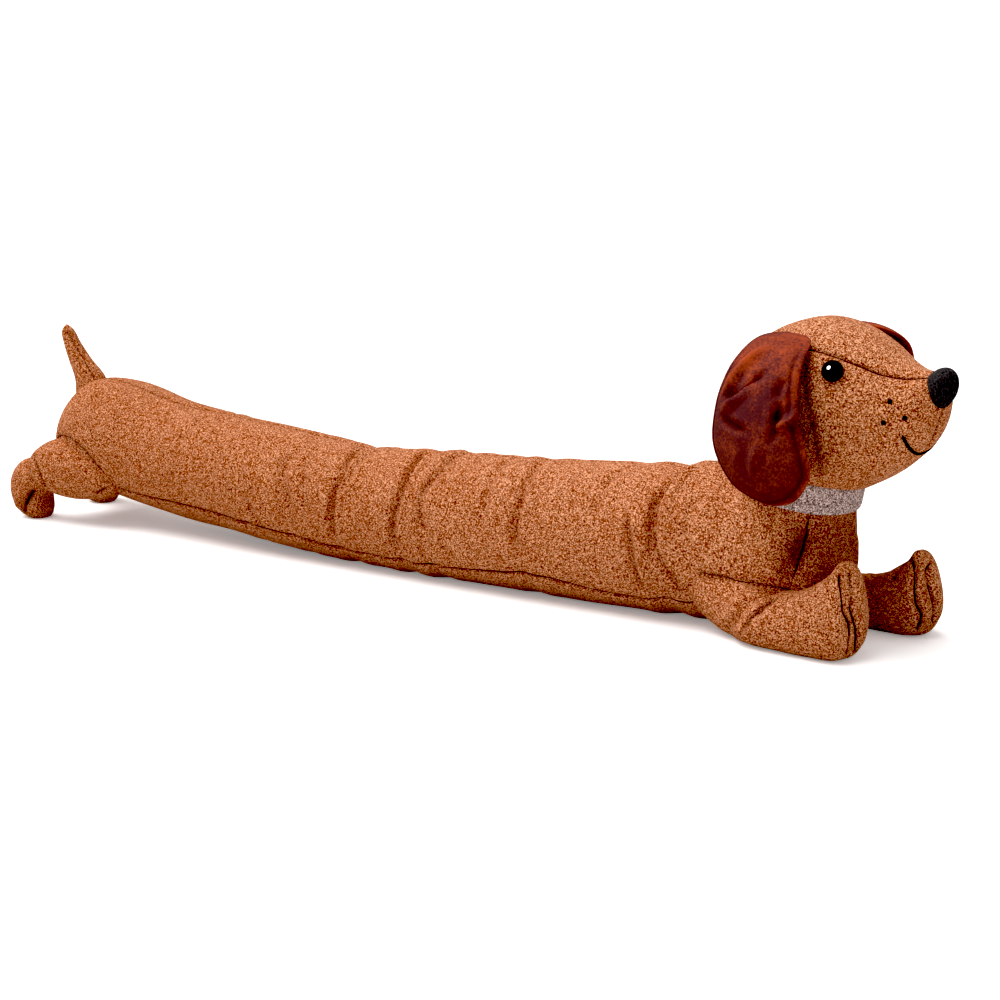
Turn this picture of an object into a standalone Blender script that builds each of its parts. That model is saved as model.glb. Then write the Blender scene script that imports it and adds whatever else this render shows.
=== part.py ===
"""Draught excluder: a long stuffed dachshund of heather tweed, lying along +X with its rear raised on the hind feet.

Every padded piece is one closed skin carried over section lines. A section line runs in the side view from a
first point (back or top) to a second point (front or underside); the ring around it is a rounded oval whose
other half width lies across the animal. Tables are in millimetres, measured from the rump along the floor.
"""
import bpy
import bmesh
import math
import numpy as np
from mathutils import Matrix, Vector

MM = 0.001
GAP = 0.3                      # clearance between a sewn piece and its neighbour
CREST = 2.12                   # roundness exponent of a stuffed section: 2 is an ellipse
FRONT_TURN = math.radians(-11.0)   # the chest, forelegs and head look to the dog's right
FRONT_PIVOT = (745.0, -3.0)
FRONT_BEND = (650.0, 750.0)        # the turn sets in between these two places
COLLAR_TILT = math.radians(11.0)
COLLAR_CENTRE = (755.0, 107.5)
COLLAR_HEIGHT = 23.0
COLLAR_THICK = 2.2
NECK_RADIUS = 43.5
EYE_RADIUS = 8.0
EYE_HEIGHT = 5.0

# name of each column of a section table: the line's two ends in the side view, its side offset, its half width
SECTION = ("x1", "z1", "x2", "z2", "y", "half")

BODY = (
    (-32, 72, -32, 72, 3, 0),
    (-31, 92, -31, 52, 3, 23),
    (-24, 110, -25, 38, 3, 39),
    (-10, 128, -10, 29, 3, 50.5),
    (8, 139, 10, 27, 3, 56),
    (36, 140, 34, 25, 3, 58),
    (113, 123, 113, 14, 4, 57),
    (225, 114, 225, 6, -3, 55),
    (300, 107.5, 300, 0.5, -5, 54),
    (338, 104, 338, -1.5, -5, 53),
    (451, 109, 451, -1.5, -7, 53.5),
    (564, 113.5, 564, -1.5, -6, 55.5),
    (640, 119, 640, -1.5, -2, 59),
    (676, 123, 678, -1.5, 0, 61),
    (690, 123.5, 706, -1.5, 0, 61.5),
    (699, 122, 739, -1.5, 0, 60.5),
    (704, 120, 767, 2, 0, 57),
    (707, 118.5, 787, 20, 0, 53.5),
    (709, 117.5, 796.5, 48, 0, 49),
    (710.5, 117, 799, 76, 0, 46),
    (711.5, 116.5, 798.5, 99, 0, 43.5),
    (716, 138.8, 803, 121.3, 0, 43.5),
)

# ring folds where the stuffed tube is pushed together: place, how far the crown leans ahead, depth, width, spread
FOLD = ("x", "lean", "depth", "width", "low", "high")
FOLDS = (
    (236, -9, 1.6, 7.0, -60, 70),
    (290, -7, 2.0, 7.0, -70, 95),
    (344, -2, 3.4, 6.5, -90, 130),
    (415, 4, 3.4, 7.0, -90, 120),
    (446, 3, 3.2, 6.5, -80, 110),
    (535, -1, 2.8, 7.0, -80, 110),
    (615, 2, 1.8, 7.0, -20, 110),
    (645, -1, 2.6, 6.5, -70, 40),
    (667, -5, 4.6, 7.5, -90, 120),
)

# creases across a foreleg at the elbow and along a paw between its three toes
ELBOW = ((750, 18, 3.6, 6.0, 60, 215),)
TOE_ANGLE = math.radians(19.0)
TOE_DEPTH = 2.8
TOE_WIDTH = math.radians(8.0)

# the forepaws differ a little: side, how far ahead and out the paw lies, how tall it stands, where its toes look
PAW = ("name", "side", "ahead", "out", "stands", "toes")
PAWS = (("right", -1, -7.0, -4.0, 1.05, -24.0), ("left", 1, 0.0, 4.0, 0.96, 33.0))

HEAD = (
    (713, 180, 713, 180, 0, 0),
    (715, 201, 717, 160, 0, 22),
    (722, 219, 720, 140, 0, 38),
    (735, 232, 727, 124, 0, 50),
    (754, 240.5, 745, 113, 0, 57),
    (778, 245, 773, 108, 0, 59),
    (802, 240.5, 801, 114, 0, 56.5),
    (822, 231, 825, 126, 0, 49),
    (839, 219, 842, 137, 0, 40.5),
    (853, 213, 855, 148, 0, 33),
    (864, 210.5, 865, 160, 0, 26.5),
    (872, 205, 870, 174, 0, 17),
    (874, 188, 874, 188, 0, 0),
)

EAR_RIGHT = (
    (766, 234, 766, 234, 27, 0),
    (745, 231, 789, 230, 43, 5),
    (738, 216, 796, 215, 63, 7),
    (733, 196, 801, 198, 74, 7),
    (731, 176, 806, 178, 79, 7),
    (731, 156, 813, 158, 80, 7),
    (738, 139, 817, 142, 79, 6.5),
    (751, 124, 810, 127, 77, 6),
    (767, 116, 798, 117, 74, 4),
    (783, 113, 783, 113, 73, 0),
)

# the left ear stands out from its root and swings back at its tip
EAR_LEFT = (
    (777, 238, 777, 238, 31, 0),
    (757, 236.5, 799, 234.5, 38, 12),
    (748, 226, 806, 222, 62, 9),
    (739, 203, 805, 202, 75, 7.5),
    (734, 178, 801, 178, 79, 7),
    (731, 156, 803, 158, 80, 7),
    (734, 139, 805, 142, 79, 6.5),
    (745, 124, 796, 127, 76, 6),
    (758, 116, 784, 117, 73, 4),
    (771, 113, 771, 113, 72, 0),
)

FORELEG = (
    (688, 34, 688, 34, 37, 0),
    (691, 45, 691, 22, 40, 12),
    (702, 51, 702, 12, 40, 20),
    (720, 51, 720, 3, 40, 24),
    (742, 47, 742, -1.5, 43, 25.5),
    (762, 40, 762, -1.5, 48.5, 27),
    (782, 40, 784, -1.5, 49, 26),
    (802, 46, 811, -1.5, 48.5, 25),
    (815, 54, 839, 2, 47.5, 23.5),
    (824, 61, 848, 19, 47, 21),
    (828, 66, 846, 40, 46.5, 18),
    (831, 70, 841, 58, 46, 12.5),
    (836, 69, 836, 69, 46, 0),
)

THIGH = (
    (-44, 61, -24, 33, 46, 17),
    (-36, 72, -10, 27, 44, 22),
    (-12, 83, 10, 24, 40, 26),
    (24, 80, 32, 26, 37, 26),
    (54, 64, 54, 30, 36, 20),
    (70, 46, 70, 46, 38, 0),
)

FOOT = (
    (-44.3, 60.8, -24.3, 32.8, 46, 17),
    (-57, 58, -28, 28, 46, 19.5),
    (-69, 46, -31, 21, 46, 20),
    (-74, 31, -31, 14, 45, 20),
    (-71, 16, -30, 8, 45, 18),
    (-62, 5, -35, 0, 44, 13.5),
    (-49, -0.5, -49, -0.5, 44, 0),
)

TAIL = (
    (-26, 116, 16, 124, 0, 15),
    (-26, 136, 5, 143, 0, 12.5),
    (-32, 153, -12, 157, 0, 10),
    (-38, 170, -26, 172.5, 0, 7.5),
    (-42, 184, -35, 185.5, 0, 4.5),
    (-40, 190, -40, 190, 0, 0),
)


def column(rows, names, name):
    """One named column of a table, as an array."""
    return np.array(rows, float)[:, names.index(name)]


def spline(rows, where):
    """A smooth curve through the rows: cubic pieces whose slope at a row leans on its two neighbours."""
    rows = np.array(rows, float)
    steps = np.linalg.norm(np.diff(rows, axis=0), axis=1)
    knots = np.concatenate([[0.0], np.cumsum(np.sqrt(steps))])
    knots /= knots[-1]
    gaps = np.diff(knots)[:, None]
    slopes = np.diff(rows, axis=0) / gaps
    tangents = np.empty_like(rows)
    tangents[1:-1] = (slopes[:-1] * gaps[1:] + slopes[1:] * gaps[:-1]) / (gaps[:-1] + gaps[1:])
    tangents[0] = 1.5 * slopes[0] - 0.5 * tangents[1]
    tangents[-1] = 1.5 * slopes[-1] - 0.5 * tangents[-2]
    cell = np.clip(np.searchsorted(knots, where, side="right") - 1, 0, len(gaps) - 1)
    span = gaps[cell]
    t = (where[:, None] - knots[cell][:, None]) / span
    start, end = rows[cell], rows[cell + 1]
    return (
        (2 * t**3 - 3 * t**2 + 1) * start
        + (t**3 - 2 * t**2 + t) * span * tangents[cell]
        + (3 * t**2 - 2 * t**3) * end
        + (t**3 - t**2) * span * tangents[cell + 1]
    )


def stations(rows, count, centres=(), reach=12.0, pull=3.0):
    """Places along a table, closer together at the given x centres."""
    fine = np.linspace(0, 1, 3001)
    x = spline(rows, fine)[:, [0, 2]].mean(axis=1)
    size = np.linalg.norm(np.diff(spline(rows, fine), axis=0), axis=1)
    near = sum((np.exp(-(((x - c) / reach) ** 2)) for c in centres), np.zeros_like(x))
    weight = np.concatenate([[0.0], np.cumsum(size * (1 + pull * near[1:]))])
    return np.interp(np.linspace(0, weight[-1], count), weight, fine)


def around_ring(count, middle=0.0, reach=0.8, pull=0.0):
    """Angles around a ring, closer together near the middle one."""
    fine = np.linspace(0, 2 * np.pi, 1441)
    off = np.abs((fine - middle + np.pi) % (2 * np.pi) - np.pi)
    weight = np.cumsum(1 + pull * np.exp(-((off / reach) ** 4)))
    weight = (weight - weight[0]) / (weight[-1] - weight[0])
    return np.interp(np.arange(count) / count, weight, fine)


def skin(rows, where, angle, crest=CREST):
    """Rings of a padded piece: centre + half line * sin(a) + half width * cos(a), each to the power 2 / crest."""
    x1, z1, x2, z2, y, half = spline(rows, where).T
    rise = np.sign(np.sin(angle)) * np.abs(np.sin(angle)) ** (2 / crest)
    side = np.sign(np.cos(angle)) * np.abs(np.cos(angle)) ** (2 / crest)
    line = np.stack([(x1 - x2) / 2, 0 * y, (z1 - z2) / 2], axis=1)
    centre = np.stack([(x1 + x2) / 2, y, (z1 + z2) / 2], axis=1)
    across = np.stack([0 * y, -np.maximum(half, 0), 0 * y], axis=1)
    return centre[:, None] + line[:, None] * rise[:, None] + across[:, None] * side[:, None]


def fold_rings(rings, rows, where, folds):
    """Presses each ring fold into the skin: a smooth trough with a low swell on both sides."""
    x1, z1, x2, z2, y, half = spline(rows, where).T
    centre = np.stack([(x1 + x2) / 2, y, (z1 + z2) / 2], axis=1)[:, None]
    out = rings - centre
    reach = np.linalg.norm(out, axis=2, keepdims=True)
    out = out / np.maximum(reach, 1e-6)
    height = out[..., 2]
    angle = np.degrees(np.arctan2(height, -out[..., 1]))
    press = np.zeros(height.shape)
    for x, lean, depth, width, low, high in folds:
        from_fold = (rings[..., 0] - x - lean * height) / width
        trough = np.exp(-(from_fold**2)) - 0.35 * np.exp(-((np.abs(from_fold) - 1.9) ** 2))
        middle, spread = (low + high) / 2, (high - low) / 2
        off = np.abs((angle - middle + 180) % 360 - 180)
        press += depth * trough / (1 + np.exp((off - spread) / 12))
    return rings - out * press[..., None]


def toe_rings(rings, where, angle, middle, start):
    """Two grooves beside the toes' middle line, deepening from a place along the table to the toes' tip."""
    off = np.abs((angle - middle + np.pi) % (2 * np.pi) - np.pi)
    groove = np.exp(-(((off - TOE_ANGLE) / TOE_WIDTH) ** 2))
    t = np.clip((where - start) / (1 - start) * 3, 0, 1)
    depth = TOE_DEPTH * t * t * (3 - 2 * t)
    centre = rings.mean(axis=1, keepdims=True)
    out = rings - centre
    reach = np.linalg.norm(out, axis=2, keepdims=True)
    depth = np.minimum(depth[:, None, None], 0.25 * reach)
    return rings - out / np.maximum(reach, 1e-6) * depth * groove[None, :, None]


def faces_of(rings, closed_start, closed_end):
    """Quads between rings, with a point or a flat cap at each end."""
    count, around = rings.shape[:2]
    first, last = (1 if closed_start else 0), (count - 1 if closed_end else count)
    points = rings[first:last].reshape(-1, 3)
    i, j = np.meshgrid(np.arange(last - first - 1), np.arange(around), indexing="ij")
    k = (j + 1) % around
    quads = np.stack([i * around + j, i * around + k, (i + 1) * around + k, (i + 1) * around + j], axis=-1)
    faces = [tuple(map(int, q)) for q in quads.reshape(-1, 4)]
    ring = np.arange(around)
    top = (last - first - 1) * around
    extra = []
    if closed_start:
        tip = len(points)
        extra.append(rings[0].mean(axis=0))
        faces += [(tip, int((j + 1) % around), int(j)) for j in ring]
    else:
        faces.append(tuple(int(j) for j in ring[::-1]))
    if closed_end:
        tip = len(points) + len(extra)
        extra.append(rings[-1].mean(axis=0))
        faces += [(tip, top + int(j), top + int((j + 1) % around)) for j in ring]
    else:
        faces.append(tuple(top + int(j) for j in ring))
    return np.concatenate([points, np.array(extra).reshape(-1, 3)]), faces


def on_floor(points):
    """What would sink under the floor lies flat on it."""
    points[:, 2] = np.maximum(points[:, 2], 0.0)
    return points


def turned_front(points):
    """The front of the animal is drawn straight and turned about an upright line, more and more along the bend."""
    start, end = FRONT_BEND
    t = np.clip((points[:, 0] - start) / (end - start), 0, 1)
    angle = FRONT_TURN * t * t * (3 - 2 * t)
    x, y = points[:, 0] - FRONT_PIVOT[0], points[:, 1].copy()
    turned = points.copy()
    turned[:, 0] = FRONT_PIVOT[0] + x * np.cos(angle) - y * np.sin(angle)
    turned[:, 1] = FRONT_PIVOT[1] + x * np.sin(angle) + y * np.cos(angle)
    return turned


def material(name, colour, roughness):
    found = bpy.data.materials.get(name)
    if found:
        return found
    made = bpy.data.materials.new(name)
    made.use_nodes = True
    shader = made.node_tree.nodes["Principled BSDF"]
    shader.inputs["Base Color"].default_value = (*colour, 1.0)
    shader.inputs["Roughness"].default_value = roughness
    shader.inputs["Metallic"].default_value = 0.0
    return made


def tweed():
    return material("heather_tweed", (0.50, 0.20, 0.07), 0.95)


def velvet():
    return material("ear_velvet", (0.17, 0.03, 0.02), 0.8)


def wool_tape():
    return material("collar_wool", (0.33, 0.24, 0.21), 0.9)


def plush():
    return material("nose_plush", (0.012, 0.010, 0.012), 0.9)


def gloss():
    return material("eye_gloss", (0.008, 0.008, 0.012), 0.08)


def add_object(name, points, faces, finish):
    """A mesh object from points in millimetres, with its faces turned outwards."""
    mesh = bpy.data.meshes.new(name)
    mesh.from_pydata((points * MM).tolist(), [], faces)
    work = bmesh.new()
    work.from_mesh(mesh)
    bmesh.ops.recalc_face_normals(work, faces=work.faces)
    work.to_mesh(mesh)
    work.free()
    mesh.shade_smooth()
    mesh.materials.append(finish)
    made = bpy.data.objects.new(name, mesh)
    bpy.context.scene.collection.objects.link(made)
    return made


def grown_copy(source, name, by):
    """A hidden copy of a piece, swollen along its normals, that cuts its neighbours."""
    mesh = source.data.copy()
    mesh.name = name
    count = len(mesh.vertices)
    points, normals = np.empty(count * 3, np.float32), np.empty(count * 3, np.float32)
    mesh.vertices.foreach_get("co", points)
    mesh.vertices.foreach_get("normal", normals)
    mesh.vertices.foreach_set("co", points + normals * by * MM)
    copy = bpy.data.objects.new(name, mesh)
    bpy.context.scene.collection.objects.link(copy)
    copy.hide_render = True
    copy.display_type = "WIRE"
    return copy


def cut(piece, cutter):
    step = piece.modifiers.new("cut_by_" + cutter.name, "BOOLEAN")
    step.operation = "DIFFERENCE"
    step.solver = "EXACT"
    step.object = cutter


def make_body():
    centres = column(FOLDS, FOLD, "x")
    where = stations(BODY, 88, centres)
    rings = fold_rings(skin(BODY, where, around_ring(30)), BODY, where, FOLDS)
    points, faces = faces_of(rings, True, False)
    points = turned_front(points)
    return add_object("body", on_floor(points), faces, tweed())


def collar_frame():
    """Across-the-collar and up-the-neck directions in the side view."""
    along = np.array([math.cos(COLLAR_TILT), 0.0, -math.sin(COLLAR_TILT)])
    up = np.array([math.sin(COLLAR_TILT), 0.0, math.cos(COLLAR_TILT)])
    return along, up


def neck_cutter():
    """A hidden block whose upper face is the plane where the head is sewn to the neck."""
    along, up = collar_frame()
    top = np.array([COLLAR_CENTRE[0], 0.0, COLLAR_CENTRE[1]]) + up * (COLLAR_HEIGHT + GAP)
    side = np.array([0.0, 1.0, 0.0])
    points = [
        top + along * a * 120 + side * b * 120 - up * c * 90
        for c in (0, 1)
        for a, b in ((-1, -1), (1, -1), (1, 1), (-1, 1))
    ]
    faces = [(0, 1, 2, 3), (7, 6, 5, 4), (0, 4, 5, 1), (1, 5, 6, 2), (2, 6, 7, 3), (3, 7, 4, 0)]
    block = add_object("neck_plane", turned_front(np.array(points)), faces, tweed())
    block.hide_render = True
    block.display_type = "WIRE"
    return block


def make_head():
    where = stations(HEAD, 32)
    points, faces = faces_of(skin(HEAD, where, around_ring(30)), True, True)
    return add_object("head", turned_front(points), faces, tweed())


def make_collar():
    """A flat band around the neck, of the neck's own rounded outline; the neck's skin trims its inner face."""
    along, up = collar_frame()
    bottom = np.array([COLLAR_CENTRE[0], 0.0, COLLAR_CENTRE[1]])
    radius = NECK_RADIUS + COLLAR_THICK + 1.5
    rows = []
    for height in (0.5, COLLAR_HEIGHT):
        back = bottom + up * height - along * radius
        front = bottom + up * height + along * radius
        rows.append((back[0], back[2], front[0], front[2], 0.0, radius))
    points, faces = faces_of(skin(rows, np.array([0.0, 1.0]), around_ring(64)), False, False)
    return add_object("collar", turned_front(points), faces, wool_tape())


def ear_rings(rows, where):
    """The ear's rings bow outwards across its width."""
    rings = skin(rows, where, around_ring(20), 2.0)
    table = spline(rows, where)
    middle, half = (table[:, 0] + table[:, 2]) / 2, np.abs(table[:, 2] - table[:, 0]) / 2
    across = (rings[..., 0] - middle[:, None]) / np.maximum(half, 1.0)[:, None]
    rings[..., 1] += 6.0 * (1 - across**2) * np.minimum(half / 30, 1)[:, None]
    return rings


def make_ear(name, side):
    rows = {"right": EAR_RIGHT, "left": EAR_LEFT}[name]
    rings = ear_rings(rows, stations(rows, 21))
    rings[..., 1] *= side
    points, faces = faces_of(rings, True, True)
    return add_object("ear_" + name, turned_front(points), faces, velvet())


def make_limb(name, rings, side, shape, front=False):
    rings[..., 1] *= side
    points, faces = faces_of(rings, *shape)
    if front:
        points = turned_front(points)
    return add_object(name, on_floor(points), faces, tweed())


def make_foreleg(name, side, ahead, out, stands, toes):
    rows = np.array(FORELEG, float)
    reach = np.clip((rows[:, 0] - 700) / 100, 0, 1)
    rows[:, [0, 2]] += ahead * reach[:, None]
    rows[:, [1, 3]] *= stands
    rows[:, 4] += out * reach
    where = stations(rows, 30, column(ELBOW, FOLD, "x"))
    middle = 1.5 * math.pi + math.radians(toes)
    angle = around_ring(28, middle, 0.8, 2.0)
    rings = fold_rings(skin(rows, where, angle, 2.3), rows, where, ELBOW)
    rings = toe_rings(rings, where, angle, middle, start=0.62)
    return make_limb("foreleg_" + name, rings, side, (True, True), front=True)


def make_thigh(name, side):
    return make_limb("thigh_" + name, skin(THIGH, stations(THIGH, 14), around_ring(18)), side, (False, True))


def make_hind_foot(name, side):
    where = stations(FOOT, 16)
    angle = around_ring(22, 0.5 * math.pi, 0.8, 1.5)
    rings = toe_rings(skin(FOOT, where, angle), where, angle, 0.5 * math.pi, start=0.45)
    return make_limb("hind_foot_" + name, rings, side, (False, True))


def make_tail():
    return make_limb("tail", skin(TAIL, stations(TAIL, 14), around_ring(14)), 1, (False, True))


def make_dome(name, place, normal, radius, height, finish):
    """A button seen from the side: a flat-backed dome with its crown along the normal."""
    turn = Vector((0, 0, 1)).rotation_difference(Vector(normal).normalized()).to_matrix()
    lift = np.linspace(0, math.pi / 2, 7)
    rows = [(radius, -3.0)] + [(radius * math.cos(a), height * math.sin(a)) for a in lift]
    angle = np.linspace(0, 2 * np.pi, 24, endpoint=False)
    rings = np.array([[(r * math.cos(a), r * math.sin(a), h) for a in angle] for r, h in rows])
    points, faces = faces_of(rings, False, True)
    points = points @ np.array(turn).T + np.array(place)
    return add_object(name, turned_front(points), faces, finish)


def make_nose():
    """A plush button: an ellipsoid across the muzzle's tip, leaning back."""
    lean = math.radians(-20)
    v = np.linspace(0, math.pi, 11)
    u = np.linspace(0, 2 * np.pi, 20, endpoint=False)
    x = 11.5 * np.sin(v)[:, None] * np.cos(u)
    y = 16.0 * np.sin(v)[:, None] * np.sin(u)
    z = 15.0 * np.cos(v)[:, None] + 0 * u
    rings = np.stack([x * math.cos(lean) - z * math.sin(lean), y, x * math.sin(lean) + z * math.cos(lean)], axis=-1)
    points, faces = faces_of(rings + np.array([870.5, 0.0, 199.5]), True, True)
    return add_object("nose", turned_front(points), faces, plush())


def clear_scene():
    for old in list(bpy.data.objects):
        bpy.data.objects.remove(old, do_unlink=True)


def settle_origin(pieces):
    """Moves every mesh so that the origin is at the middle of the footprint, on the floor."""
    bpy.context.view_layer.update()
    graph = bpy.context.evaluated_depsgraph_get()
    corners = []
    for piece in pieces:
        shown = piece.evaluated_get(graph)
        mesh = shown.to_mesh()
        points = np.empty(len(mesh.vertices) * 3, np.float32)
        mesh.vertices.foreach_get("co", points)
        corners.append(points.reshape(-1, 3))
        shown.to_mesh_clear()
    points = np.concatenate(corners)
    middle = (points.min(axis=0) + points.max(axis=0)) / 2
    for item in bpy.data.objects:
        item.data.transform(Matrix.Translation((-middle[0], -middle[1], 0.0)))
    print("origin moved by", middle)


def main():
    clear_scene()
    body = make_body()
    head = make_head()
    cut(head, neck_cutter())
    collar = make_collar()
    body_grown = grown_copy(body, "body_grown", GAP)
    head_grown = grown_copy(head, "head_grown", GAP)
    cut(collar, body_grown)
    pieces = [body, head, collar]
    for name, side, ahead, out, stands, toes in PAWS:
        ear = make_ear(name, side)
        cut(ear, head_grown)
        eye = make_dome("eye_" + name, (811.5, side * 47.5, 211.3), (0.45, side * 1.0, 0.35), EYE_RADIUS, EYE_HEIGHT, gloss())
        cut(eye, head_grown)
        leg = make_foreleg(name, side, ahead, out, stands, toes)
        cut(leg, body_grown)
        thigh = make_thigh(name, side)
        cut(thigh, body_grown)
        foot = make_hind_foot(name, side)
        pieces += [ear, eye, leg, thigh, foot]
    nose = make_nose()
    cut(nose, head_grown)
    tail = make_tail()
    cut(tail, body_grown)
    pieces += [nose, tail]
    settle_origin(pieces)


main()
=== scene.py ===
"""Dresses the packed draught excluder, a long stuffed dachshund of heather tweed, as a Blender add-on's operators.

Every padded piece is a surface of two parameters: a station along its section table and an angle around it. The
tables are in millimetres, measured from the rump along the floor, with the animal drawn straight; at the end the
front is turned to the animal's right and the origin is moved under its middle, as in the packed model.
"""

import math

import bpy
import numpy as np
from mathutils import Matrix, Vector


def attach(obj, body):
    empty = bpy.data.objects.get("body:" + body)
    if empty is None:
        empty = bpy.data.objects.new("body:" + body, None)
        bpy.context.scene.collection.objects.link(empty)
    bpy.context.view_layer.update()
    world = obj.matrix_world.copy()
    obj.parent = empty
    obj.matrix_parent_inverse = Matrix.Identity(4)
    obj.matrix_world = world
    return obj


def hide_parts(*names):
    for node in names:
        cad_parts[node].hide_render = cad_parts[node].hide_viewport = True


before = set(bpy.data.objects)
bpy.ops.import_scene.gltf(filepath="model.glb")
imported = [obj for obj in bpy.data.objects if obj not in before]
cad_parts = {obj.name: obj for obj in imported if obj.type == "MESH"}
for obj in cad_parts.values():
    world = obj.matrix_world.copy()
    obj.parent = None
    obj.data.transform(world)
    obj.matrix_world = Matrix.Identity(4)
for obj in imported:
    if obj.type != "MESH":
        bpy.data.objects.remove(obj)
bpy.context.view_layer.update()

bl_info = {
    "name": "Draught Excluder Dachshund",
    "version": (1, 0, 0),
    "blender": (4, 5, 0),
    "location": "3D View > Sidebar > Draught Excluder",
    "description": "Builds a stuffed tweed dachshund that lies along a door",
    "category": "Add Mesh",
}

MM = 0.001
SHIFT = (-403.11, 7.87, 0.0)
CREST = 2.12
FRONT_TURN = math.radians(-11.0)
FRONT_PIVOT = (745.0, -3.0)
FRONT_BEND = (650.0, 750.0)
COLLAR_TILT = math.radians(11.0)
COLLAR_CENTRE = (755.0, 107.5)
COLLAR_HEIGHT = 23.0
NECK_RADIUS = 43.5
AMBIENT = 0.60
KEY = 3.42
BLACK = 0.06
FLOOR_SEEN = 1.00
FLOOR_GLOW = 0.26
FLOOR_BOUNCE = 0.74

# a section of a padded piece: crown x and z, bottom x and z, middle y, half width; one row a station
BODY = (
    (-32, 72, -32, 72, 3, 0),
    (-31, 92, -31, 52, 3, 23),
    (-24, 110, -25, 38, 3, 39),
    (-10, 128, -10, 29, 3, 50.5),
    (8, 139, 10, 27, 3, 56),
    (36, 140, 34, 25, 3, 58),
    (113, 123, 113, 14, 4, 57),
    (225, 114, 225, 6, -3, 55),
    (300, 107.5, 300, 0.5, -5, 54),
    (338, 104, 338, -1.5, -5, 53),
    (451, 109, 451, -1.5, -7, 53.5),
    (564, 113.5, 564, -1.5, -6, 55.5),
    (640, 119, 640, -1.5, -2, 59),
    (676, 123, 678, -1.5, 0, 61),
    (690, 123.5, 706, -1.5, 0, 61.5),
    (699, 122, 739, -1.5, 0, 60.5),
    (704, 120, 767, 2, 0, 57),
    (707, 118.5, 787, 20, 0, 53.5),
    (709, 117.5, 796.5, 48, 0, 49),
    (710.5, 117, 799, 76, 0, 46),
    (711.5, 116.5, 798.5, 99, 0, 43.5),
    (716, 138.8, 803, 121.3, 0, 43.5),
)

# low ring swells of the stuffed tube: place, how far the crown leans ahead, depth, width, and from and to which angle
FOLDS = (
    (236, -9, 0.8, 6.0, -60, 70),
    (290, -7, 1.0, 6.5, -70, 95),
    (344, -2, 1.6, 8.0, -90, 130),
    (415, 4, 1.8, 8.0, -90, 120),
    (446, 3, 1.4, 7.0, -80, 110),
    (498, 5, 0.8, 6.0, 10, 110),
    (535, -1, 1.4, 8.0, -80, 110),
    (615, 2, 1.0, 8.0, -20, 110),
    (660, -5, 2.6, 9.0, -90, 120),
)

# creases where the cloth is pushed together, on the animal's right side, pressed in with painted shade in their
# troughs: places, depth, width
CREASES = (
    (((343, -8, 103), (343, -24, 99), (346, -42, 90), (344, -54, 72), (343, -58, 50), (342, -53, 27)), 3.6, 3.0),
    (((361, -14, 104), (359, -34, 99), (356, -48, 89), (351, -59, 68)), 1.6, 3.0),
    (
        ((417, -4, 107), (415, -20, 104), (415, -37, 97), (415, -52, 81), (411, -60, 56), (409, -60, 41), (412, -53, 26)),
        3.4, 3.0,
    ),
    (((447, -10, 107), (445, -41, 97), (440, -54, 86), (439, -61, 65), (446, -61, 47)), 2.6, 3.2),
    (((475, -25, 107), (474, -50, 92), (478, -58, 72)), 1.0, 3.0),
    (((502, -18, 110), (501, -45, 98), (503, -58, 78), (500, -61, 62)), 1.4, 3.4),
    (((535, -10, 111), (534, -30, 107), (535, -44, 97), (536, -57, 79), (534, -61, 61), (541, -62, 45)), 2.8, 3.2),
    (((574, -30, 108), (572, -52, 92), (574, -60, 72)), 1.0, 3.4),
    (((611, -20, 113), (607, -44, 101), (606, -58, 80)), 1.4, 3.6),
    (
        ((668, -8, 118), (664, -28, 112), (659, -44, 98), (660, -54, 82),
         (665, -58, 62), (672, -57, 48), (681, -57, 36), (683, -51, 24)),
        5.0, 3.4,
    ),
    (((654, -45, 102), (656, -58, 77), (660, -59, 54)), 2.2, 3.0),
    (((634, -58, 84), (641, -60, 64), (646, -58, 42), (652, -53, 27)), 3.8, 3.0),
    (((696, -38, 105), (690, -54, 86), (690, -60, 64)), 1.2, 4.0),
    (((160, -12, 118), (157, -36, 108), (151, -50, 92)), 1.4, 3.6),
    (((206, -44, 97), (204, -55, 76), (208, -58, 52)), 0.8, 4.0),
    (((284, -34, 100), (284, -53, 83), (291, -60, 65), (300, -61, 48)), 2.0, 3.4),
    (((244, -59, 55), (252, -58, 39), (257, -52, 26)), 2.2, 3.4),
    (((295, -24, 106), (290, -46, 93)), 1.4, 3.2),
    (((308, -36, 99), (310, -56, 78), (318, -61, 53)), 1.4, 3.4),
    (((128, -28, 118), (122, -48, 101), (124, -57, 80)), 0.7, 4.0),
    (((752, -36, 118), (762, -47, 96), (770, -49, 74)), 1.4, 4.0),
    (((803, -10, 96), (800, -12, 84), (799, -10, 70)), 1.2, 3.0),
    (((799, 6, 94), (799, 7, 80), (798, 8, 66)), 1.2, 3.0),
    (((788, -36, 86), (783, -41, 68), (773, -47, 52)), 4.0, 8.0),
)

# painted shade over broad places where the cloth lies in a hollow or under the ear: places, width, darkness
PAINTED_SHADES = (
    (((786, -36, 99), (782, -38, 88), (780, -39, 74), (781, -38, 58)), 13.0, 0.46),
    (((757, -48, 108), (768, -46, 108), (780, -38, 104)), 9.0, 0.36),
)
# where the ear's front edge lies on the head; a groove and the ear's painted shadow are laid along it
CHEEK = (
    (789, -44, 223), (791, -51, 211), (794, -54, 200), (797, -56, 190),
    (801, -56, 178), (804, -54, 162), (804, -48, 145), (801, -39, 130),
)

ELBOW = ((750, 18, 3.8, 5.0, 60, 215),)
FAR_CREASE_AHEAD = 9
FAR_CREASE_SHARE = 0.8
MAIN_SEAMS = 3
TOE_ANGLE = math.radians(19.0)
TOE_DEPTH = 2.4
TOE_WIDTH = math.radians(13.0)

# name, side, how far ahead and outwards the paw is moved, its height's share, and the angle of its toes
PAWS = (("right", -1, -7.0, -4.0, 1.05, -24.0), ("left", 1, 0.0, 4.0, 0.96, 33.0))

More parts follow.
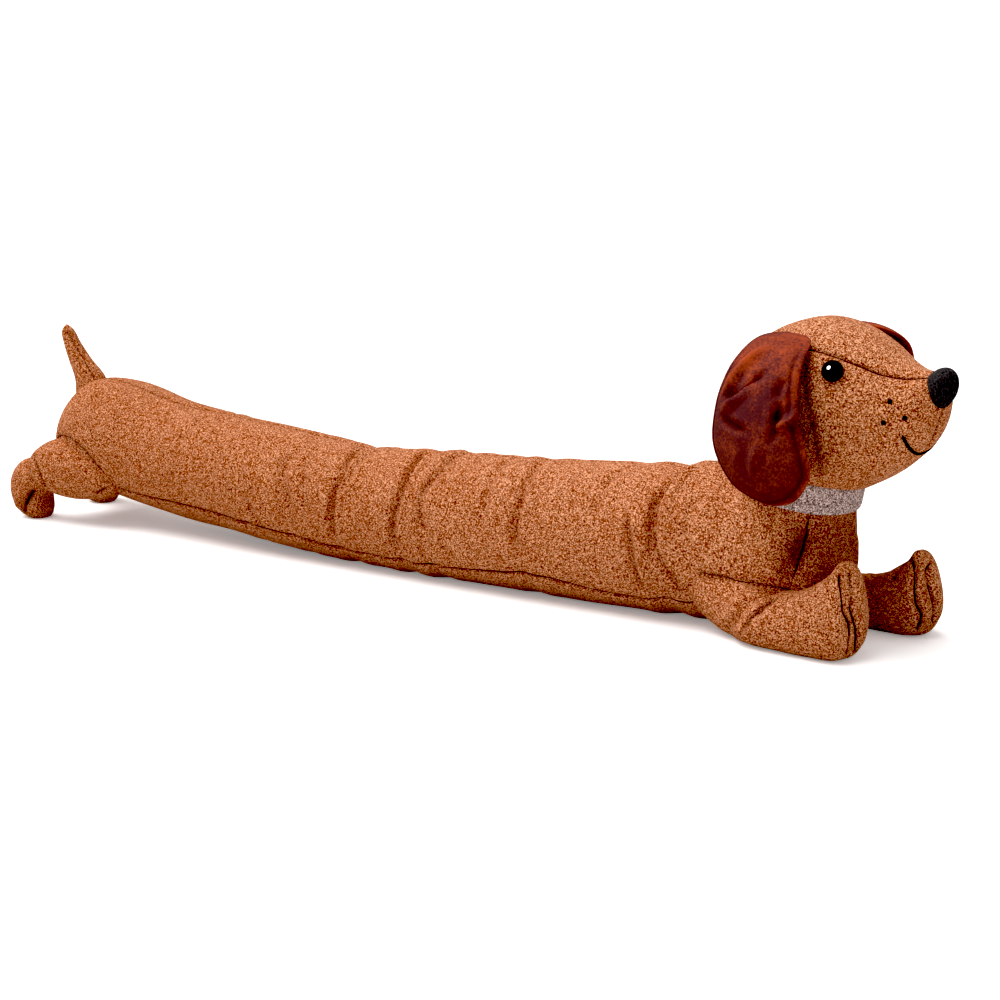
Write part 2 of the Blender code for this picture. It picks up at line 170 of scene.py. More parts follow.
HEAD = (
    (713, 180, 713, 180, 0, 0),
    (715, 201, 717, 160, 0, 22),
    (722, 219, 720, 140, 0, 38),
    (735, 232, 727, 124, 0, 50),
    (754, 240.5, 745, 113, 0, 57),
    (778, 245, 773, 108, 0, 59),
    (802, 240.5, 801, 114, 0, 56.5),
    (822, 231, 825, 126, 0, 49),
    (839, 219, 842, 137, 0, 40.5),
    (853, 213, 855, 148, 0, 33),
    (864, 210.5, 865, 160, 0, 26.5),
    (872, 205, 870, 174, 0, 17),
    (874, 188, 874, 188, 0, 0),
)

EAR_RIGHT = (
    (766, 234, 766, 234, 27, 0),
    (745, 231, 789, 230, 43, 5),
    (738, 216, 796, 215, 63, 7),
    (733, 196, 801, 198, 74, 7),
    (731, 176, 806, 178, 79, 7),
    (731, 156, 813, 158, 80, 7),
    (738, 139, 817, 142, 79, 6.5),
    (751, 124, 810, 127, 77, 6),
    (767, 116, 798, 117, 74, 4),
    (783, 113, 783, 113, 73, 0),
)

EAR_LEFT = (
    (777, 238, 777, 238, 31, 0),
    (757, 236.5, 799, 234.5, 38, 12),
    (748, 226, 806, 222, 62, 9),
    (739, 203, 805, 202, 75, 7.5),
    (734, 178, 801, 178, 79, 7),
    (731, 156, 803, 158, 80, 7),
    (734, 139, 805, 142, 79, 6.5),
    (745, 124, 796, 127, 76, 6),
    (758, 116, 784, 117, 73, 4),
    (771, 113, 771, 113, 72, 0),
)

FORELEG = (
    (688, 34, 688, 34, 37, 0),
    (691, 45, 691, 22, 40, 12),
    (702, 51, 702, 12, 40, 20),
    (720, 51, 720, 3, 40, 24),
    (742, 47, 742, -1.5, 43, 25.5),
    (762, 40, 762, -1.5, 48.5, 27),
    (782, 40, 784, -1.5, 49, 26),
    (802, 46, 811, -1.5, 48.5, 25),
    (815, 54, 839, 2, 47.5, 23.5),
    (824, 61, 848, 19, 47, 21),
    (828, 66, 846, 40, 46.5, 18),
    (831, 70, 841, 58, 46, 12.5),
    (836, 69, 836, 69, 46, 0),
)

THIGH = (
    (-44, 61, -24, 33, 46, 17),
    (-36, 72, -10, 27, 44, 22),
    (-12, 83, 10, 24, 40, 26),
    (24, 80, 32, 26, 37, 26),
    (54, 64, 54, 30, 36, 20),
    (70, 46, 70, 46, 38, 0),
)

FOOT = (
    (-44.3, 60.8, -24.3, 32.8, 46, 17),
    (-57, 58, -28, 28, 46, 19.5),
    (-69, 46, -31, 21, 46, 20),
    (-74, 31, -31, 14, 45, 20),
    (-71, 16, -30, 8, 45, 18),
    (-62, 5, -35, 0, 44, 13.5),
    (-49, -0.5, -49, -0.5, 44, 0),
)

TAIL = (
    (-26, 116, 16, 124, 0, 15),
    (-26, 136, 5, 143, 0, 12.5),
    (-33, 153, -11, 157, 0, 10.5),
    (-40, 170, -24.5, 172.5, 0, 8.5),
    (-43.5, 183.5, -33, 185.5, 0, 6),
    (-39.5, 190.5, -39.5, 190.5, 0, 0),
)

# seams as places that they pass, drawn on the animal's right side
BELLY_SEAM = (
    (40, -44, 42), (66, -44, 40), (96, -45, 37), (175, -50, 32), (238, -51, 28), (299, -51, 22),
    (374, -49, 16), (466, -51, 16), (546, -56, 24), (614, -47, 18), (680, -47, 20), (700, -50, 24),
)
BACK_SEAM = (
    (2, -3, 135), (48, -3, 139), (102, 0, 125), (180, 1, 118), (300, -3, 107), (450, -5, 109),
    (564, -4, 113), (640, -1, 119), (700, 0, 122),
)
CHEST_SEAM = ((791, -33, 103), (786, -33, 93), (786, -33, 83), (785, -35, 75), (782, -37, 64), (778, -40, 50))
FOREHEAD_SEAM = (
    (774, -54, 231), (790, -48, 229), (796, -44, 226), (811, -39, 221), (820, -36, 217), (832, -31, 212),
    (842, -25, 209), (853, -19, 208), (866, -10, 207),
)
SMILE = ((858, -28, 168), (859, -22, 161), (859, -12, 154), (859, 0, 151))
PHILTRUM = ((862, 0, 154), (868, 1, 167), (871, 1, 178), (872, 1, 186))
SHOULDER_SEAM = (
    (704, -60, 47), (717, -60, 48.5), (730, -59, 48),
    (743, -56, 47), (756, -52, 46), (768, -46, 44), (777, -38, 42),
)
THIGH_SEAM = ((-14, -44, 84), (-4, -52, 87), (13, -56, 88), (33, -57, 77), (48, -56, 64), (57, -54, 52))
TAIL_SEAM = ((6, -7, 134), (-4, -6, 148), (-14, -5, 160), (-27, -4, 172), (-36, -2, 184))
KNEE_SEAM = ((59, -50, 42), (55, -53, 39), (48, -54, 35))
ANKLE_SEAM = ((-31, -58, 67), (-26, -64, 61), (-19, -66, 54), (-15, -65, 45), (-14, -62, 36))
TOE_SEAM = ((-33, -58, 30), (-40, -62, 22), (-47, -63, 13), (-50, -60, 6))
ELBOW_FOLD = ((778, -56, 44), (775, -62, 38), (770, -70, 31), (764, -73, 24), (760, -74, 14))
NEAR_TOES = (
    ((829, -55, 67), (832, -56, 60), (834, -56, 52), (836, -57, 42), (839, -54, 33), (839, -52, 20), (835, -49, 6)),
    ((832, -45, 67), (835, -46, 59), (836, -47, 50), (838, -50, 43), (839, -48, 36), (840, -44, 22), (836, -40, 7)),
)
FAR_TOES = (
    ((835, 37, 62), (838, 35, 55), (840, 33, 45), (841, 32, 37), (842, 35, 27), (844, 38, 14), (840, 40, 6)),
    ((840, 53, 58), (843, 46, 48), (844, 47, 41), (847, 49, 33), (848, 51, 25), (846, 52, 12)),
)
FAR_SOLE = ((836, 36, 63), (829, 39, 62), (824, 42, 57), (821, 40, 51), (821, 34, 44))
# folds of the ears: places, depth, width, and darkness: painted shade in the troughs above 0, painted highlight on
# the ridges below 0
EAR_FOLDS = (
    (((793, -84, 192), (794, -88, 182), (793, -89, 172), (790, -89, 162)), 2.2, 3.6, 0.7),
    (((766, -60, 228), (760, -70, 218), (751, -80, 203), (744, -85, 190)), -2.6, 5.0, -0.8),
    (((772, -80, 207), (764, -84, 197), (754, -87, 188), (744, -88, 178)), -2.2, 4.0, -0.6),
    (((744, -87, 190), (757, -88, 194), (768, -84, 203), (777, -78, 214)), 2.6, 4.0, 0.5),
    (((743, -88, 178), (757, -90, 172), (771, -91, 168)), 1.8, 3.6, 0.4),
    (((791, -90, 172), (800, -88, 178), (806, -82, 188)), -2.0, 3.6, -0.7),
    (((781, -90, 160), (778, -90, 147), (776, -90, 134)), -1.4, 4.0, -0.3),
    (((797, -86, 214), (792, -88, 202), (792, -88, 194)), 1.4, 3.6, 0.3),
)

WHISKERS = ((850, -33, 192), (860, -29, 181), (848, -36, 177))


def spline(rows, where):
    """A smooth curve through the rows: cubic pieces whose slope at a row leans on its two neighbours."""
    rows = np.array(rows, float)
    steps = np.linalg.norm(np.diff(rows, axis=0), axis=1)
    knots = np.concatenate([[0.0], np.cumsum(np.sqrt(steps))])
    knots /= knots[-1]
    gaps = np.diff(knots)[:, None]
    slopes = np.diff(rows, axis=0) / gaps
    tangents = np.empty_like(rows)
    tangents[1:-1] = (slopes[:-1] * gaps[1:] + slopes[1:] * gaps[:-1]) / (gaps[:-1] + gaps[1:])
    tangents[0] = 1.5 * slopes[0] - 0.5 * tangents[1]
    tangents[-1] = 1.5 * slopes[-1] - 0.5 * tangents[-2]
    cell = np.clip(np.searchsorted(knots, where, side="right") - 1, 0, len(gaps) - 1)
    span = gaps[cell]
    t = (where[:, None] - knots[cell][:, None]) / span
    start, end = rows[cell], rows[cell + 1]
    return (
        (2 * t**3 - 3 * t**2 + 1) * start
        + (t**3 - 2 * t**2 + t) * span * tangents[cell]
        + (3 * t**2 - 2 * t**3) * end
        + (t**3 - t**2) * span * tangents[cell + 1]
    )


def stations(rows, count):
    """Places along a table at even steps of its sections."""
    fine = np.linspace(0, 1, 3001)
    size = np.linalg.norm(np.diff(spline(rows, fine), axis=0), axis=1)
    weight = np.concatenate([[0.0], np.cumsum(size)])
    return np.interp(np.linspace(0, weight[-1], count), weight, fine)


def around_ring(count, middles=(), reach=0.25, pull=2.0):
    """Angles around a ring, closer together near the middles, which are in degrees."""
    fine = np.linspace(0, 2 * np.pi, 2881)
    weight = np.ones_like(fine)
    for middle in middles:
        off = np.abs((fine - math.radians(middle) + np.pi) % (2 * np.pi) - np.pi)
        weight += pull * np.exp(-((off / reach) ** 2))
    weight = np.cumsum(weight)
    weight = (weight - weight[0]) / (weight[-1] - weight[0])
    return np.interp(np.arange(count) / count, weight, fine)


def skin(rows, where, angle, crest=CREST):
    """Rings of a padded piece: centre + half line * sin(a) + half width * cos(a), each to the power 2 / crest."""
    x1, z1, x2, z2, y, half = spline(rows, where).T
    rise = np.sign(np.sin(angle)) * np.abs(np.sin(angle)) ** (2 / crest)
    side = np.sign(np.cos(angle)) * np.abs(np.cos(angle)) ** (2 / crest)
    line = np.stack([(x1 - x2) / 2, 0 * y, (z1 - z2) / 2], axis=1)
    centre = np.stack([(x1 + x2) / 2, y, (z1 + z2) / 2], axis=1)
    across = np.stack([0 * y, -np.maximum(half, 0), 0 * y], axis=1)
    return centre[:, None] + line[:, None] * rise[:, None] + across[:, None] * side[:, None]


def fold_rings(rings, rows, where, folds):
    """Presses each ring fold into the skin: a smooth trough with a low swell on both sides."""
    x1, z1, x2, z2, y, half = spline(rows, where).T
    centre = np.stack([(x1 + x2) / 2, y, (z1 + z2) / 2], axis=1)[:, None]
    out = rings - centre
    reach = np.linalg.norm(out, axis=2, keepdims=True)
    out = out / np.maximum(reach, 1e-6)
    height = out[..., 2]
    angle = np.degrees(np.arctan2(height, -out[..., 1]))
    press = np.zeros(height.shape)
    for x, lean, depth, width, low, high in folds:
        wander = 1.6 * np.sin(3.1 * height + 0.11 * x) + 0.8 * np.sin(7.3 * height + 0.37 * x)
        from_fold = (rings[..., 0] - x - lean * height - wander) / width
        trough = np.exp(-(from_fold**2)) - 0.35 * np.exp(-((np.abs(from_fold) - 1.9) ** 2))
        middle, spread = (low + high) / 2, (high - low) / 2
        off = np.abs((angle - middle + 180) % 360 - 180)
        press += depth * trough / (1 + np.exp((off - spread) / 12))
    return rings - out * press[..., None]


def toe_rings(rings, where, angle, middle, start):
    """Two grooves beside the toes' middle line, deepening from a place along the table to the toes' tip."""
    off = np.abs((angle - middle + np.pi) % (2 * np.pi) - np.pi)
    groove = np.exp(-(((off - TOE_ANGLE) / TOE_WIDTH) ** 2))
    t = np.clip((where - start) / (1 - start) * 3, 0, 1)
    depth = TOE_DEPTH * t * t * (3 - 2 * t)
    centre = rings.mean(axis=1, keepdims=True)
    out = rings - centre
    reach = np.linalg.norm(out, axis=2, keepdims=True)
    depth = np.minimum(depth[:, None, None], 0.25 * reach)
    return rings - out / np.maximum(reach, 1e-6) * depth * groove[None, :, None]


def turned_front(points):
    """The front of the animal is drawn straight and turned about an upright line, more and more along the bend."""
    start, end = FRONT_BEND
    t = np.clip((points[..., 0] - start) / (end - start), 0, 1)
    angle = FRONT_TURN * t * t * (3 - 2 * t)
    x, y = points[..., 0] - FRONT_PIVOT[0], points[..., 1]
    return np.stack(
        [
            FRONT_PIVOT[0] + x * np.cos(angle) - y * np.sin(angle),
            FRONT_PIVOT[1] + x * np.sin(angle) + y * np.cos(angle),
            points[..., 2],
        ],
        axis=-1,
    )


def ring_normals(rings):
    """Unit normals of a grid of rings: the cross product of its two central differences, facing out."""
    along = np.gradient(rings, axis=0)
    around = np.roll(rings, -1, axis=1) - np.roll(rings, 1, axis=1)
    normal = np.cross(around, along)
    normal /= np.maximum(np.linalg.norm(normal, axis=2, keepdims=True), 1e-9)
    out = rings - rings.mean(axis=1, keepdims=True)
    flip = np.sign((normal * out).sum(axis=2).sum())
    return normal * flip


def lay_line(rings, places, step=1.0):
    """A smooth line over a grid through the nearest grid places: rows of grid coordinates, evenly spaced."""
    count, around = rings.shape[:2]
    flat = rings.reshape(-1, 3)
    nearest = [int(((flat - np.array(p, float)) ** 2).sum(axis=1).argmin()) for p in places]
    grid = np.array([(n // around, n % around) for n in nearest], float)
    grid[:, 1] = np.unwrap(grid[:, 1] * 2 * np.pi / around) * around / (2 * np.pi)
    fine = spline(grid, np.linspace(0, 1, 40 * len(places)))
    kernel = np.hanning(43)[:, None] / np.hanning(43).sum()
    padded = np.concatenate([2 * fine[:1] - fine[21:0:-1], fine, 2 * fine[-1:] - fine[-2:-23:-1]])
    fine = np.stack([np.convolve(padded[:, k], kernel[:, 0], "valid") for k in (0, 1)], axis=1)
    line = on_grid(rings, fine)
    length = np.concatenate([[0.0], np.cumsum(np.linalg.norm(np.diff(line, axis=0), axis=1))])
    even = np.linspace(0, length[-1], max(4, int(length[-1] / step)))
    return np.stack([np.interp(even, length, fine[:, 0]), np.interp(even, length, fine[:, 1])], axis=1)


def on_grid(values, coordinates):
    """Values of a grid at fractional coordinates, mixed from the four nearest; the second one wraps round."""
    count, around = values.shape[:2]
    i = np.clip(coordinates[:, 0], 0, count - 1.001)
    j = coordinates[:, 1] % around
    i0, j0 = i.astype(int), j.astype(int) % around
    i1, j1 = i0 + 1, (j0 + 1) % around
    a, b = (i - i0)[:, None], (j - np.floor(j))[:, None]
    return (
        values[i0, j0] * (1 - a) * (1 - b)
        + values[i1, j0] * a * (1 - b)
        + values[i0, j1] * (1 - a) * b
        + values[i1, j1] * a * b
    )


def distance_to(points, line, reach):
    """Distance of each point of an array to a dense line, and the place along it from 0 to 1; far points get 1e3."""
    flat = points.reshape(-1, 3)
    near = ((flat > line.min(axis=0) - reach) & (flat < line.max(axis=0) + reach)).all(axis=1)
    found = np.nonzero(near)[0]
    distance, place = np.full(len(flat), 1e3), np.zeros(len(flat))
    for part in np.array_split(found, max(1, len(found) // 4000)):
        if len(part):
            gap = ((flat[part][:, None] - line[None]) ** 2).sum(axis=2)
            best = gap.argmin(axis=1)
            distance[part] = np.sqrt(gap[np.arange(len(part)), best])
            place[part] = best / (len(line) - 1)
    return distance.reshape(points.shape[:-1]), place.reshape(points.shape[:-1])


class Skin:
    """A padded piece while it is shaped: rings of points, and how deep in a crease each point lies."""

    def __init__(self, rings):
        self.rings = rings
        self.dark = np.zeros(rings.shape[:2])

    def press(self, places, depth, width, dark=0.0, ahead=0.0, ends=0.06):
        """Presses a line in along the normals: depth * exp(-(distance / width)^2), with a low swell beside it.

        With ahead above 0 the trough is steep behind the line and the cloth swells further ahead of it.
        """
        line = on_grid(self.rings, places)
        distance, place = distance_to(self.rings, line, 5 * width)
        fade = np.clip(np.minimum(place, 1 - place) / max(ends, 1e-6) + 0.1, 0, 1)
        nearest = np.interp(place, np.linspace(0, 1, len(line)), line[:, 0])
        front = np.clip((self.rings[..., 0] - nearest) / width, -1, 1) * ahead
        span = distance / width
        trough = np.exp(-(span**2)) - 0.22 * np.exp(-((span - 2.1) ** 2))
        trough -= 0.5 * np.maximum(front, 0) * np.exp(-((span - 2.0) ** 2) / 1.6)
        self.rings = self.rings - ring_normals(self.rings) * (depth * trough * fade)[..., None]
        self.dark += dark * np.exp(-((distance / (0.75 * width)) ** 2)) * fade * (distance < 1e2)
        return self

    def seam(self, places, depth, dark=0.9):
        """A sewn seam: a broad pull of the cloth with a narrow, dark slit in it."""
        self.press(places, 0.6 * depth, 4.2, 0.0)
        return self.press(places, depth, 1.4, dark)


def puffed(rings, cell, cap, held=(), pressure=4.0):
    """Blows a padded piece up with a cloth simulation and adds what it moved to the rings, at most cap millimetres.

    The cloth is a coarse copy of the grid, held at both ends and along the held lines, with no gravity. While other
    pieces are worked on it may be skipped.
    """
    count, around = rings.shape[:2]
    length = np.linalg.norm(np.diff(rings, axis=0), axis=2).mean(axis=1).sum()
    girth = np.linalg.norm(rings - np.roll(rings, 1, axis=1), axis=2).sum(axis=1).max()
    i = np.unique(np.linspace(1, count - 2, max(6, int(length / cell))).round().astype(int))
    j = np.unique(np.linspace(0, around, max(8, int(girth / cell)), endpoint=False).round().astype(int))
    coarse = rings[np.ix_(i, j)]
    quads, _ = grid_faces(len(i), len(j), False, False)
    hold = np.zeros(coarse.shape[:2])
    hold[[0, -1]] = 1.0
    for places in held:
        distance, _ = distance_to(coarse, on_grid(rings, places), 3 * cell)
        hold = np.maximum(hold, np.exp(-((distance / (0.8 * cell)) ** 2)))
    mesh = bpy.data.meshes.new("cloth_form")
    mesh.from_pydata((coarse.reshape(-1, 3) * MM).tolist(), [], quads.tolist())
    cloth = bpy.data.objects.new("cloth_form", mesh)
    bpy.context.scene.collection.objects.link(cloth)
    out = coarse - coarse.mean(axis=1, keepdims=True)
    mesh.update()
    facing = np.array([face.normal for face in mesh.polygons])
    if (facing * out.reshape(-1, 3)[quads[:, 0]]).sum() < 0:
        mesh.flip_normals()
    group = cloth.vertex_groups.new(name="held")
    for number, weight in enumerate(hold.ravel().tolist()):
        if weight > 0.05:
            group.add([number], weight, "REPLACE")
    modifier = cloth.modifiers.new("Cloth", "CLOTH")
    given = modifier.settings
    given.quality, given.mass = 5, 0.3
    given.use_pressure, given.uniform_pressure_force = True, pressure
    given.vertex_group_mass = "held"
    given.effector_weights.gravity = 0.0
    modifier.point_cache.frame_start, modifier.point_cache.frame_end = 1, 20
    scene = bpy.context.scene
    for number in range(1, 21):
        scene.frame_set(number)
    shown = cloth.evaluated_get(bpy.context.evaluated_depsgraph_get())
    moved = np.empty(3 * len(mesh.vertices), np.float32)
    shown.data.vertices.foreach_get("co", moved)
    moved = moved.reshape(coarse.shape) / MM - coarse
    bpy.data.objects.remove(cloth)
    bpy.data.meshes.remove(mesh)
    scene.frame_set(1)
    size = np.linalg.norm(moved, axis=2, keepdims=True)
    moved *= np.minimum(1, cap / np.maximum(size, 1e-6))
    at = np.arange(count)
    rows = [np.stack([np.interp(at, i, moved[:, n, k]) for n in range(len(j))], axis=1) for k in range(3)]
    rows = np.stack(rows, axis=-1)
    wide = np.concatenate([j - around, j, j + around])
    rows = np.concatenate([rows, rows, rows], axis=1)
    here = np.arange(around)
    right = np.searchsorted(wide, here, side="right")
    share = ((here - wide[right - 1]) / (wide[right] - wide[right - 1]))[None, :, None]
    fine = rows[:, right - 1] * (1 - share) + rows[:, right] * share
    for axis, steps in ((0, max(1, round(count / len(i)))), (1, max(1, round(around / len(j))))):
        kernel = np.hanning(2 * steps + 1)
        kernel /= kernel.sum()
        total = np.zeros_like(fine)
        for shift, weight in zip(range(-steps, steps + 1), kernel):
            if axis:
                total += weight * np.roll(fine, shift, axis=1)
            else:
                total += weight * fine[np.clip(np.arange(count) + shift, 0, count - 1)]
        fine = total
    return rings + fine


def lumps(rings, height, size, seed):
    """Uneven stuffing: a sum of seven sine waves in set directions, moving each point along its normal."""
    random = np.random.default_rng(seed)
    total = np.zeros(rings.shape[:2])
    for _ in range(7):
        direction = random.normal(size=3)
        direction *= 2 * np.pi / (size * random.uniform(0.7, 1.6)) / np.linalg.norm(direction)
        total += np.sin(rings @ direction + random.uniform(0, 2 * np.pi))
    return rings + ring_normals(rings) * (height * total / 7**0.5)[..., None]


def settled(points):
    """Whatever would sink under the floor lies on it."""
    points = points.copy()
    points[..., 2] = np.maximum(points[..., 2], 0.0)
    return points


def placed(points):
    """From drawn millimetres to the packed model's metres."""
    return (turned_front(points) + np.array(SHIFT)) * MM


def grid_faces(count, around, start, end):
    """Quads between rings and, at a closed end, a fan to its tip, as arrays of vertex numbers."""
    i, j = np.meshgrid(np.arange(count - 1), np.arange(around), indexing="ij")
    k = (j + 1) % around
    a, b = i * around, (i + 1) * around
    quads = np.stack([a + j, a + k, b + k, b + j], axis=-1).reshape(-1, 4)
    ring = np.arange(around)
    top = (count - 1) * around
    fans = []
    if start:
        fans.append(np.stack([np.full(around, count * around), (ring + 1) % around, ring], axis=1))
    if end:
        tip = count * around + (1 if start else 0)
        fans.append(np.stack([np.full(around, tip), top + ring, top + (ring + 1) % around], axis=1))
    return quads, fans


def surface(name, points, faces, finish, attributes=()):
    """A mesh object from points in metres and arrays of faces, smooth, with its faces turned outwards."""
    mesh = bpy.data.meshes.new(name)
    mesh.from_pydata(points.tolist(), [], [row for part in faces for row in part.tolist()])
    mesh.update()
    corners = np.concatenate([part[:, [0, a, a + 1]] for part in faces for a in range(1, part.shape[1] - 1)])
    a, b, c = (points[corners[:, k]] for k in range(3))
    if (np.cross(a, b) * c).sum() < 0:
        mesh.flip_normals()
    mesh.shade_smooth()
    mesh.materials.append(finish)
    for key, values in attributes:
        mesh.attributes.new(key, "FLOAT", "POINT").data.foreach_set("value", values.astype(np.float32))
    made = bpy.data.objects.new(name, mesh)
    bpy.context.scene.collection.objects.link(made)
    return made


def stuffed(name, rings, finish, start=True, end=True, dark=None):
    """A padded piece from rings in drawn millimetres; each end closes in a point at its ring's middle.

    The dark values of the points go into the mesh's attribute "crease".
    """
    dark = np.zeros(rings.shape[:2]) if dark is None else dark
    first, last = rings[0].mean(axis=0), rings[-1].mean(axis=0)
    kept = slice(1 if start else 0, -1 if end else None)
    rings, dark = rings[kept], dark[kept]
    count, around = rings.shape[:2]
    points = np.concatenate([rings.reshape(-1, 3), [first, last]])
    shade = np.concatenate([dark.ravel(), [0.0, 0.0]])
    quads, fans = grid_faces(count, around, True, True)
    return surface(name, placed(settled(points)), [quads, *fans], finish, [("painted_light_and_shade", shade)])


def tube(centres, normals, radius, sides=6, flat=1.0):
    """A round thread carried along a line: rings of sides points around each centre, with pinched ends."""
    ahead = np.gradient(centres, axis=0)
    ahead /= np.maximum(np.linalg.norm(ahead, axis=1, keepdims=True), 1e-9)
    across = np.cross(ahead, normals)
    across /= np.maximum(np.linalg.norm(across, axis=1, keepdims=True), 1e-9)
    up = np.cross(across, ahead)
    place = np.linspace(0, 1, len(centres))
    size = radius * np.minimum(1, np.sqrt(np.clip(np.minimum(place, 1 - place) * len(centres) / 2 + 0.05, 0, 1)))
    turn = np.arange(sides) * 2 * np.pi / sides
    return (
        centres[:, None]
        + across[:, None] * np.cos(turn)[:, None] * size[:, None, None]
        + up[:, None] * np.sin(turn)[:, None] * size[:, None, None] * flat
    )


def threads(name, tubes, finish):
    """One mesh of several threads, each a grid of rings in drawn millimetres closed at both ends."""
    points, faces, base = [], [], 0
    for rings in tubes:
        count, around = rings.shape[:2]
        quads, fans = grid_faces(count, around, True, True)
        block = np.concatenate([rings.reshape(-1, 3), rings[:1].mean(axis=1), rings[-1:].mean(axis=1)])
        points.append(block)
        faces += [quads + base] + [fan + base for fan in fans]
        base += len(block)
    return surface(name, placed(np.concatenate(points)), faces, finish)


def seam_thread(rings, places, radius, lift=0.0, sides=6):
    """The thread of a seam: a tube in the bottom of the groove that the line's places follow."""
    line = on_grid(rings, places)
    normals = on_grid(ring_normals(rings), places)
    return tube(line + normals * lift, normals, radius, sides)


def mirrored(places):
    return tuple((x, -y, z) for x, y, z in places)


def carry(piece, node):
    """The piece stands for its node, takes the slot's finish and rides on the only body."""
    if node:
        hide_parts(node)
    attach(piece, "root")
    return piece


class Nodes:
    """A node tree with short ways to add and join nodes."""

    def __init__(self, tree):
        self.tree = tree

    def add(self, kind, values=(), **settings):
        node = self.tree.nodes.new(kind)
        for key, value in settings.items():
            setattr(node, key, value)
        for key, value in dict(values).items():
            if hasattr(value, "node"):
                self.tree.links.new(value, node.inputs[key])
            else:
                node.inputs[key].default_value = value
        return node

    def math(self, operation, a, b=0.0, clamp=False):
        return self.add("ShaderNodeMath", {0: a, 1: b}, operation=operation, use_clamp=clamp).outputs[0]

    def span(self, value, low, high, to_low=0.0, to_high=1.0):
        made = self.add(
            "ShaderNodeMapRange",
            {"Value": value, "From Min": low, "From Max": high, "To Min": to_low, "To Max": to_high},
            interpolation_type="SMOOTHSTEP",
        )
        return made.outputs["Result"]

    def mix(self, share, a, b, blend="MIX"):
        node = self.add("ShaderNodeMix", data_type="RGBA", blend_type=blend)
        for socket, value in ((node.inputs["Factor"], share), (node.inputs[6], a), (node.inputs[7], b)):
            if hasattr(value, "node"):
                self.tree.links.new(value, socket)
            else:
                socket.default_value = value
        return node.outputs[2]

    def noise(self, vector, scale, detail=2.0, roughness=0.5, distortion=0.0):
        return self.add(
            "ShaderNodeTexNoise",
            {"Vector": vector, "Scale": scale, "Detail": detail, "Roughness": roughness, "Distortion": distortion},
        )


def new_group(name, inputs, outputs):
    """A shader node group with its sockets, and its inside."""
    tree = bpy.data.node_groups.new(name, "ShaderNodeTree")
    for key, kind, default in inputs:
        socket = tree.interface.new_socket(name=key, in_out="INPUT", socket_type=kind)
        if default is not None:
            socket.default_value = default
    for key, kind in outputs:
        tree.interface.new_socket(name=key, in_out="OUTPUT", socket_type=kind)
    inside = Nodes(tree)
    return tree, inside, inside.add("NodeGroupInput"), inside.add("NodeGroupOutput")


FLOAT, COLOUR, VECTOR = "NodeSocketFloat", "NodeSocketColor", "NodeSocketVector"


def tuft_group():
    """Short pile: bright tips over dark gaps, one tuft a cell of a Voronoi pattern, each with its own tint."""
    tree, n, given, out = new_group(
        "pile_tufts",
        [
            ("Vector", VECTOR, None),
            ("Tufts", FLOAT, 480.0),
            ("Gap", COLOUR, (0.12, 0.03, 0.008, 1)),
            ("Middle", COLOUR, (0.5, 0.2, 0.07, 1)),
            ("Tip", COLOUR, (0.8, 0.5, 0.28, 1)),
            ("Tip Share", FLOAT, 0.5),
        ],
        [("Colour", COLOUR), ("Height", FLOAT)],
    )
    vector, tufts = given.outputs["Vector"], given.outputs["Tufts"]
    cells = n.add("ShaderNodeTexVoronoi", {"Vector": vector, "Scale": tufts}, feature="F1")
    tint = n.add("ShaderNodeSeparateXYZ", {0: cells.outputs["Color"]})
    tip = n.span(cells.outputs["Distance"], 0.75, 0.15)
    fibre = n.noise(vector, n.math("MULTIPLY", tufts, 0.45), 2.0, 0.6).outputs["Fac"]
    value = n.math("ADD", n.math("MULTIPLY", tint.outputs["X"], 0.90), n.math("MULTIPLY", fibre, 0.2))
    colour = n.mix(n.span(value, 0.50, 0.10), given.outputs["Middle"], given.outputs["Gap"])
    share = n.math("MULTIPLY", n.span(value, 0.52, 0.92), given.outputs["Tip Share"], True)
    colour = n.mix(share, colour, given.outputs["Tip"])
    n.tree.links.new(colour, out.inputs["Colour"])
    n.tree.links.new(tip, out.inputs["Height"])
    return tree


def drift_group():
    """Slow changes of colour over a piece, as where the nap was stroked: a value around 0.5."""
    tree, n, given, out = new_group(
        "nap_drift",
        [("Vector", VECTOR, None), ("Scale", FLOAT, 22.0), ("Contrast", FLOAT, 1.0)],
        [("Value", FLOAT)],
    )
    noise = n.noise(given.outputs["Vector"], given.outputs["Scale"], 3.0, 0.55, 0.6).outputs["Fac"]
    value = n.math("MULTIPLY_ADD", n.math("SUBTRACT", noise, 0.5), given.outputs["Contrast"])
    value.node.inputs[2].default_value = 0.5
    n.tree.links.new(value, out.inputs["Value"])
    return tree


def new_material(name, slot_finish):
    made = bpy.data.materials.new(name)
    made.use_nodes = True
    made["finish"] = slot_finish
    made.node_tree.nodes.clear()
    n = Nodes(made.node_tree)
    shader = n.add("ShaderNodeBsdfPrincipled")
    output = n.add("ShaderNodeOutputMaterial")
    n.tree.links.new(shader.outputs[0], output.inputs["Surface"])
    place = n.add("ShaderNodeTexCoord").outputs["Object"]
    return made, n, shader, place


def bump(n, shader, height, strength, distance):
    made = n.add("ShaderNodeBump", {"Height": height, "Strength": strength, "Distance": distance})
    n.tree.links.new(made.outputs["Normal"], shader.inputs["Normal"])


def sheen(shader, weight, roughness, tint):
    shader.inputs["Sheen Weight"].default_value = weight
    shader.inputs["Sheen Roughness"].default_value = roughness
    shader.inputs["Sheen Tint"].default_value = (*tint, 1)


def once(make):
    """Keeps what a maker of groups or materials returns, so that it is built once."""
    kept = {}

    def get():
        if make not in kept:
            kept[make] = make()
        return kept[make]

    return get


get_tufts = once(tuft_group)
get_drift = once(drift_group)


def colours():
    return bpy.context.scene.draught_dog_colours


def sizes():
    return bpy.context.scene.draught_dog_sizes


